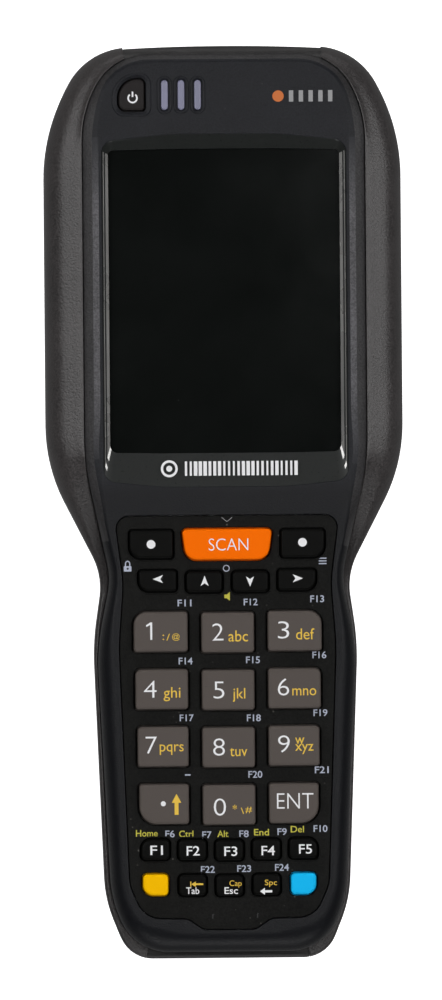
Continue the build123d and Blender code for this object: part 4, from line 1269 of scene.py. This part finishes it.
        chevron = [(-1.2, 0.55), (0.0, -0.45), (1.2, 0.55), (1.2, 0.38), (0.0, -0.62), (-1.2, 0.38)]
        tick = [(-0.1, 0.6), (0.35, 0.5), (0.1, 0.35), (0.1, -0.5), (-0.3, -0.4), (-0.1, -0.2)]
        self.printer.shapes(
            "print_grey_ticks", "case", [placed(tick, -3.9, -95.2), placed(tick, 6.38, -95.1)], z,
            Finish.DARK_PART, "print_grey",
        )
        pale_shapes = [
            placed(dash, -9.42, -62.62),
            *[placed(menu_line, 21.99, -13.70 + 0.62 * k) for k in (-1, 0, 1)],
            placed(shackle, -22.85, -14.54),
            (placed(padlock.points, -22.85, -14.54), placed(keyhole.points[::-1], -22.85, -14.54)),
            (ring.points, ring.inset(0.2)[::-1]),
        ]
        self.printer.shapes("print_grey_signs", "case", pale_shapes, z, Finish.GREY_INK, "print_grey")
        self.printer.shapes(
            "print_grey_chevron", "case", [placed(chevron, 0.06, -3.97)], z, Finish.DIM_INK, "print_grey"
        )
        horn = [(0.6, 1.0), (-0.1, 0.42), (-0.65, 0.42), (-0.65, -0.42), (-0.1, -0.42), (0.6, -1.0)]
        self.printer.shapes(
            "print_yellow_speaker", "case", [placed(horn, -0.01, -21.68)], z, Finish.GREEN_INK,
            "print_yellow",
        )

    def build(self) -> None:
        """Makes every key, the mat and the print."""
        for spec in self.specs:
            self.cap(spec)
        self.finger_marks()
        self.mat()
        self.key_print()
        self.sign_print()
        self.mat_print()


# ---------------------------------------------------------------- repeated details
class Repeat:
    """A node group that lays out copies of one small block, and the mesh it makes."""

    def __init__(self, name: str, finish: Finish) -> None:
        """Starts a node group with its named inputs.

        Args:
            name: name of the group and of the piece it makes.
            finish: the finish of every copy.
        """
        self.name, self.finish = name, finish
        self.group = bpy.data.node_groups.new(name, "GeometryNodeTree")
        self.values: dict[str, float | int | tuple[float, float, float]] = {}
        self.entry = self.group.nodes.new("NodeGroupInput")

    def input(self, name: str, kind: str, value: float | int | tuple[float, float, float]) -> Socket:
        """Adds a named input of the group and returns the socket that carries it."""
        self.group.interface.new_socket(name=name, in_out="INPUT", socket_type="NodeSocket" + kind)
        self.values[name] = value
        return self.entry.outputs[name]

    def node(self, kind: str, links: dict[str, Socket] | None = None, **settings) -> bpy.types.Node:
        """Adds a node, joins the given sockets to its inputs and sets its plain settings."""
        node = self.group.nodes.new(kind)
        for name, value in settings.items():
            setattr(node, name, value)
        for name, socket in (links or {}).items():
            self.group.links.new(socket, node.inputs[name])
        return node

    def finish_group(self, points: Socket, block: Socket, scale: Socket | None = None) -> None:
        """Puts the block on the points, makes it real, sets its material and ends the group."""
        links = {"Points": points, "Instance": block}
        if scale is not None:
            links["Scale"] = scale
        copies = self.node("GeometryNodeInstanceOnPoints", links)
        real = self.node("GeometryNodeRealizeInstances", {"Geometry": copies.outputs[0]})
        paint = self.node("GeometryNodeSetMaterial", {"Geometry": real.outputs[0]})
        paint.inputs["Material"].default_value = self.finish.material()
        self.group.interface.new_socket(name="Geometry", in_out="OUTPUT", socket_type="NodeSocketGeometry")
        self.node("NodeGroupOutput", {"Geometry": paint.outputs[0]})

    def piece(self, place: Matrix, slot: str) -> bpy.types.Object:
        """Runs the group and makes its result a plain piece on the case.

        Args:
            place: where the laid out copies go, in metres.
            slot: not used.

        Returns:
            The piece.
        """
        maker = bpy.data.objects.new(self.name, bpy.data.meshes.new(self.name))
        bpy.context.scene.collection.objects.link(maker)
        modifier = maker.modifiers.new("layout", "NODES")
        modifier.node_group = self.group
        for socket in self.group.interface.items_tree:
            if socket.in_out == "INPUT":
                modifier[socket.identifier] = self.values[socket.name]
        graph = bpy.context.evaluated_depsgraph_get()
        mesh = bpy.data.meshes.new_from_object(maker.evaluated_get(graph))
        bpy.data.objects.remove(maker)
        mesh.transform(place)
        mesh.materials.clear()
        piece = finished_piece(self.name, mesh, [self.finish.material()])
        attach(piece, "case")
        return piece


@dataclass
class BarRow:
    """A row of upright printed bars of uneven width."""

    name: str
    ink: Finish
    slot: str
    count: int
    pitch: float
    height: float
    thin: float
    wide: float
    thickness: float = 0.03

    def build(self, place: Matrix) -> bpy.types.Object:
        """Makes the row.

        Args:
            place: where its middle goes, in metres.

        Returns:
            The piece.
        """
        row = Repeat(self.name, self.ink)
        count = row.input("Bars", "Int", self.count)
        start = row.input("Start", "Vector", (-(self.count - 1) / 2 * self.pitch * MM, 0.0, 0.0))
        step = row.input("Step", "Vector", (self.pitch * MM, 0.0, 0.0))
        size = row.input("Bar size", "Vector", (MM, self.height * MM, self.thickness * MM))
        seed = row.input("Seed", "Int", SEED)
        line = row.node(
            "GeometryNodeMeshLine", {"Count": count, "Start Location": start, "Offset": step}
        )
        block = row.node("GeometryNodeMeshCube", {"Size": size})
        width = row.node("FunctionNodeRandomValue", {"Seed": seed}, data_type="FLOAT_VECTOR")
        width.inputs[0].default_value = (self.thin, 1, 1)
        width.inputs[1].default_value = (self.wide, 1, 1)
        row.finish_group(line.outputs["Mesh"], block.outputs["Mesh"], width.outputs["Value"])
        return row.piece(place, self.slot)


@dataclass
class BlockGrid:
    """A flat grid of small equal blocks, such as contacts or the knots of a mesh."""

    name: str
    finish: Finish
    slot: str
    columns: int
    rows: int
    pitch: tuple[float, float]
    block: tuple[float, float, float]

    def build(self, place: Matrix) -> bpy.types.Object:
        """Makes the grid.

        Args:
            place: where its middle goes, in metres.

        Returns:
            The piece.
        """
        layout = Repeat(self.name, self.finish)
        width = layout.input("Width", "Float", max(self.columns - 1, 0) * self.pitch[0] * MM)
        depth = layout.input("Depth", "Float", max(self.rows - 1, 0) * self.pitch[1] * MM)
        columns = layout.input("Columns", "Int", self.columns)
        rows = layout.input("Rows", "Int", self.rows)
        size = layout.input("Block", "Vector", tuple(MM * v for v in self.block))
        grid = layout.node(
            "GeometryNodeMeshGrid",
            {"Size X": width, "Size Y": depth, "Vertices X": columns, "Vertices Y": rows},
        )
        block = layout.node("GeometryNodeMeshCube", {"Size": size})
        layout.finish_group(grid.outputs["Mesh"], block.outputs["Mesh"])
        return layout.piece(place, self.slot)


@dataclass
class Details:
    """Plain marks in place of lettering, the rating label, the contacts and the speaker mesh."""

    printer: Printer
    face_z: float = 41.0

    def front_marks(self) -> None:
        """Prints a ring with a row of bars under the display, and a dot with bars at its head."""
        z = self.face_z + self.printer.lift + 0.015
        row = BarRow("mark_bars", Finish.WHITE_INK, "print_white", 24, 1.1, 3.3, 0.3, 0.85)
        row.build(Matrix.Translation(Vector((3.4, 7.75, z)) * MM))
        ring = Outline.disc(-13.1, 7.75, 1.95, 32)
        spot = Outline.disc(-13.1, 7.75, 0.7, 20)
        shapes = [(ring.points, ring.inset(0.55)[::-1]), spot.points]
        self.printer.shapes("mark_ring", "case", shapes, self.face_z, Finish.WHITE_INK, "print_white")
        bars = [placed(rectangle(1.0, 2.6), 15.6 + 2.25 * k, 93.2) for k in range(5)]
        self.printer.shapes("head_bars", "case", bars, self.face_z, Finish.DIM_INK, "print_grey")
        dot = [Outline.disc(12.6, 93.2, 1.3, 32).points]
        self.printer.shapes("head_dot", "case", dot, self.face_z, Finish.ORANGE_INK, "print_yellow")

    def rating_label(self) -> None:
        """Lays a pale label in its panel on the back, with printed lines and bars."""
        shell = Shell()
        panel = placed(rectangle(44.0, 14.0), 0.0, 38.0)
        shell.prism(Outline.rounded([(c, 1.2) for c in panel], 4), 0.28, 0.4)
        label = shell.piece("rating_label", [Finish.LABEL.material()])
        self.printer.attach(label, "case", "print_white")
        lines = []
        for k, length in enumerate((18.0, 22.0, 15.0, 20.0)):
            lines.append(placed(rectangle(length, 0.7), 20.0 - length / 2, 42.25 - 2.6 * k))
        printed = Shell()
        for line in lines:
            bottom, top = printed.loop(line, 0.25), printed.loop(line, 0.28)
            printed.strip(bottom, top)
            printed.cap(bottom)
            printed.cap(top)
        lines_piece = printed.piece("label_lines", [Finish.DARK_PART.material()])
        self.printer.attach(lines_piece, "case", "print_grey")
        row = BarRow("label_bars", Finish.DARK_PART, "print_grey", 20, 0.85, 9.0, 0.2, 0.65)
        row.build(Matrix.Translation(Vector((-11.5, 38.0, 0.265)) * MM))

    def contacts(self) -> None:
        """Plates the dock's contacts and lays a mesh behind the speaker slots."""
        low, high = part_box("dock_connector")
        pins = BlockGrid("dock_contacts", Finish.GOLD, "steel_parts", 12, 1, (1.6, 1.0), (0.7, 0.2, 2.9))
        pins.build(Matrix.Translation((0, low.y + 0.12 * MM, (low.z + high.z) / 2)))
        knot = (0.28, 0.28, 0.12)
        mesh = BlockGrid("speaker_mesh", Finish.STEEL, "steel_parts", 26, 26, (0.7, 0.7), knot)
        mesh.build(Matrix.Translation(Vector((0.0, 58.0, 2.1)) * MM))

    def build(self) -> None:
        """Makes all the details."""
        self.front_marks()
        self.rating_label()
        self.contacts()


# ---------------------------------------------------------------- bumpers
@dataclass
class Bumper:
    """One rubber bumper, from the nose round the head and along the handle to the tail."""

    side: int
    nose_half: float = 22.95
    tail_half: float = 18.95
    inset: float = 2.2
    gap: float = 0.06
    handle_top: float = 26.5
    head_top: float = 39.75
    handle_low: float = 14.0
    head_low: float = 10.0
    widest: float = 9.2

    def samples(self) -> tuple[np.ndarray, np.ndarray, np.ndarray]:
        """Points, outward directions and widths along this side of the body outline.

        Returns:
            The outline's points and normals from the nose to the tail, and the distance
            in to the cover at each.
        """
        body = Outline.mirrored(BODY_HALF, 40)
        fine = np.arange(0, body.length() / 2, 0.02)
        x, y = body.at(fine).points.T
        start = fine[(y > 0) & (x >= self.nose_half)][0]
        end = fine[(y < 0) & (x >= self.tail_half)][-1]
        edge = body.at(np.linspace(start, end, round((end - start) / 1.3)))
        room = edge.room_to(Outline.mirrored(COVER_HALF, 24)) - self.gap
        return edge.points, edge.normals, room

    def section(self, y: float, room: float) -> np.ndarray:
        """The cross-section at one place, as inward distance and height.

        Args:
            y: the place along the terminal.
            room: the distance in to the cover.

        Returns:
            The closed section, starting at the lower inner corner.
        """
        head = float(smooth_step(-20, 10, y))
        top = self.handle_top + (self.head_top - self.handle_top) * float(smooth_step(-21, 11, y))
        low = self.handle_low + (self.head_low - self.handle_low) * float(smooth_step(-13, 5, y))
        fall = head
        width = max(min(room, self.widest), 0.5)
        roll = min(0.8 + 5.6 * head, width * 0.92)
        drop = min(0.9 + 7.0 * head, top - low - 3)
        flange = min(34.0, top - 1.2)
        inner = min(self.inset, width)
        rows = [(self.inset, low), (0.7, low), (0.22, low + 0.2), (0.0, low + 0.75)]
        rows += [(roll * into, top - fall - drop * down) for into, down in quarter_round(9)[:-1]]
        rest = width - roll
        last = rows[-1]
        for share in (0.35, 0.7, 1.0):
            u = last[0] + (rest - 0.28) * share + (roll - last[0]) * min(share * 2, 1)
            u = min(u, width - 0.25)
            rows.append((u, last[1] + (top - 0.06 - last[1]) * math.sin(share * math.pi / 2)))
        rows += [(width - 0.08, top - 0.12), (width, top - 0.35), (width, flange)]
        rows += [(inner, flange - 0.01), (inner, min(24.2, flange - 0.5))]
        rows += [(self.inset, 24.0), (self.inset, low + 0.4)]
        return np.array(rows)

    def build(self) -> bpy.types.Object:
        """Makes the bumper as one closed mesh."""
        points, normals, room = self.samples()
        shell = Shell()
        rings = []
        for point, normal, width in zip(points, normals, room):
            section = self.section(point[1], width)
            flat = point - normal * section[:, :1]
            flat[:, 0] *= self.side
            rings.append(shell.space_loop(np.column_stack([flat, section[:, 1]])))
        shell.stack(rings)
        for ring in (rings[0], rings[-1]):
            shell.faces.append(tuple(ring))
            shell.marks.append(0)
        name = "bumper_right" if self.side > 0 else "bumper_left"
        piece = shell.piece(name + "_skin", [Finish.BUMPER.material()], 40)
        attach(piece, "case")
        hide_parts(name)
        return piece


# ---------------------------------------------------------------- latch spring
@dataclass(frozen=True)
class LatchSpring:
    """The coil behind the door latch; the real coil shortens as the latch slides back, but this one keeps
    its shape.
    """

    travel: float = 3.0

    def build(self) -> bpy.types.Object:
        """Copies the spring's mesh with the steel finish and sets it on the battery door.

        Returns:
            The coil, which rides on the battery door.
        """
        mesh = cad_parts["latch_spring"].data.copy()
        mesh.materials.clear()
        coil = finished_piece("latch_spring_coil", mesh, [Finish.STEEL.material()])
        coil.matrix_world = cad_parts["latch_spring"].matrix_world
        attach(coil, "battery_door")
        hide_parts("latch_spring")
        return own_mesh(coil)


# ---------------------------------------------------------------- the parts that keep their frame mesh
class FrameParts:
    """The nodes whose own mesh is shown, each with its finish."""

    finishes: dict[Finish, tuple[str, ...]] = {
        Finish.HOUSING: ("rear_housing", "battery_door"),
        Finish.NOSE: ("window_frame", "dock_bezel", "housing_seal", "display_gasket"),
        Finish.GLASS: ("touch_glass",),
        Finish.SCAN_GLASS: ("scan_window",),
        Finish.LIGHT: ("light_pipes",),
        Finish.DARK_PART: (
            "lcd_module", "dock_connector", "speaker", "scan_engine", "engine_optics",
            "battery_pack", "battery_contacts", "door_latch",
        ),
        Finish.STEEL: ("case_screws", "strap_bars", "dome_switches", "backup_cell", "shield_cans"),
        Finish.ALUMINIUM: ("mid_frame",),
        Finish.BOARD: ("main_board", "keypad_board"),
        Finish.POWER_KEY: ("power_button",),
    }

    def dress(self) -> None:
        """Gives each node its finish."""
        for finish, nodes in self.finishes.items():
            for node in nodes:
                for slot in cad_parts[node].material_slots:
                    slot.material = finish.material()


# ---------------------------------------------------------------- floor, lights and camera
LAMPS = (
    ("key_light", (-0.62, 0.2, 1.0), (0.5, 1.2), 7.2),
    ("fill_light", (0.62, 0.1, 1.0), (0.5, 1.2), 6.8),
    ("top_light", (0.0, 1.25, 0.4), (1.2, 0.5), 5),
    ("tail_light", (0.0, -1.25, 0.3), (1.2, 0.4), 6),
)


@dataclass
class Studio:
    """A pale floor, soft lights and the camera over the terminal."""

    distance: float = 2.6
    tilt_left: float = 1.65
    roll: float = -0.47
    aim: tuple[float, float, float] = (-0.00103, 0.00048, 0.0327)
    view_height: float = 0.2305
    sensor: float = 24
    side_glow: tuple[float, float, float] = (0.2, 0.8, 0.12)
    table_glow: tuple[float, float, float] = (-0.4, 0.1, 4.5)

    def floor(self) -> None:
        """Makes the floor just under the terminal."""
        size = 3.0
        mesh = bpy.data.meshes.new("floor")
        z = -0.0001
        mesh.from_pydata(
            [(-size, -size, z), (size, -size, z), (size, size, z), (-size, size, z)], [], [(0, 1, 2, 3)]
        )
        floor = bpy.data.objects.new("floor", mesh)
        bpy.context.scene.collection.objects.link(floor)
        tree = Tree("floor_white")
        tone = tree.ramp(tree.noise(3, 2), 0.3, 0.7, 0, 1)
        tree.join(tree.mix(tone, (0.9, 0.9, 0.9), (0.93, 0.93, 0.93)), "Base Color")
        tree.set(Roughness=0.9, Emission_Strength=1.0)
        tree.shader.inputs["Emission Color"].default_value = (1, 1, 1, 1)
        mesh.materials.append(tree.material)
        floor.visible_glossy = False
        floor.visible_diffuse = False

    def lamp(
        self, name: str, place: tuple[float, float, float], size: tuple[float, float], power: float
    ) -> None:
        """Adds a soft area light that faces the terminal.

        Args:
            name: its name.
            place: where it hangs, in metres.
            size: its width and height, in metres.
            power: its power in watts.
        """
        light = bpy.data.lights.new(name, "AREA")
        light.shape = "RECTANGLE"
        light.size, light.size_y = size
        light.energy = power
        lamp = bpy.data.objects.new(name, light)
        lamp.location = place
        lamp.rotation_euler = (-Vector(place)).to_track_quat("-Z", "Y").to_euler()
        bpy.context.scene.collection.objects.link(lamp)

    def sky(self) -> None:
        """Lights the scene from the sides and the pale table, and leaves it dark overhead."""
        world = bpy.data.worlds.new("studio")
        bpy.context.scene.world = world
        world.use_nodes = True
        nodes, links = world.node_tree.nodes, world.node_tree.links
        background = nodes["Background"]
        place = nodes.new("ShaderNodeTexCoord")
        split = nodes.new("ShaderNodeSeparateXYZ")
        total = nodes.new("ShaderNodeMath")
        links.new(place.outputs["Generated"], split.inputs[0])
        for slot, (low, high, strength) in enumerate((self.side_glow, self.table_glow)):
            ramp = nodes.new("ShaderNodeMapRange")
            ramp.interpolation_type = "SMOOTHSTEP"
            bounds = {"From Min": low, "From Max": high, "To Min": strength, "To Max": 0.0}
            for name, value in bounds.items():
                ramp.inputs[name].default_value = value
            links.new(split.outputs["Z"], ramp.inputs["Value"])
            links.new(ramp.outputs["Result"], total.inputs[slot])
        links.new(total.outputs[0], background.inputs["Strength"])

    def camera(self) -> None:
        """Sets the camera over the terminal, a little to its left."""
        camera = bpy.data.cameras.new("camera")
        camera.sensor_fit = "VERTICAL"
        camera.sensor_height = self.sensor
        camera.lens = self.sensor * self.distance / self.view_height
        camera.clip_start, camera.clip_end = 0.05, 20
        place = bpy.data.objects.new("camera", camera)
        tilt = math.radians(self.tilt_left)
        away = Vector((-math.sin(tilt), 0, math.cos(tilt))) * self.distance
        turn = Matrix.Rotation(-tilt, 4, "Y") @ Matrix.Rotation(math.radians(self.roll), 4, "Z")
        place.matrix_world = Matrix.Translation(Vector(self.aim) + away) @ turn
        bpy.context.scene.collection.objects.link(place)
        bpy.context.scene.camera = place

    def build(self) -> None:
        """Makes the whole studio."""
        self.floor()
        self.sky()
        for lamp in LAMPS:
            self.lamp(*lamp)
        self.camera()
        bpy.context.scene.view_settings.view_transform = "Standard"


def main() -> None:
    """Builds the studio and every sub-assembly, logging each stage."""
    logging.basicConfig(level=logging.INFO, format="%(message)s")
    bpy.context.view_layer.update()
    Studio().build()
    FrameParts().dress()
    LOG.info("frame parts dressed")
    FrontCover().build()
    LOG.info("front cover built")
    for side in (-1, 1):
        Bumper(side).build()
    LatchSpring().build()
    LOG.info("bumpers and latch spring built")
    printer = Printer()
    Keypad(printer).build()
    Details(printer).build()
    LOG.info("keypad and details built, %d printed pieces", printer.count)
    bpy.context.view_layer.update()


if __name__ == "__main__":
    main()
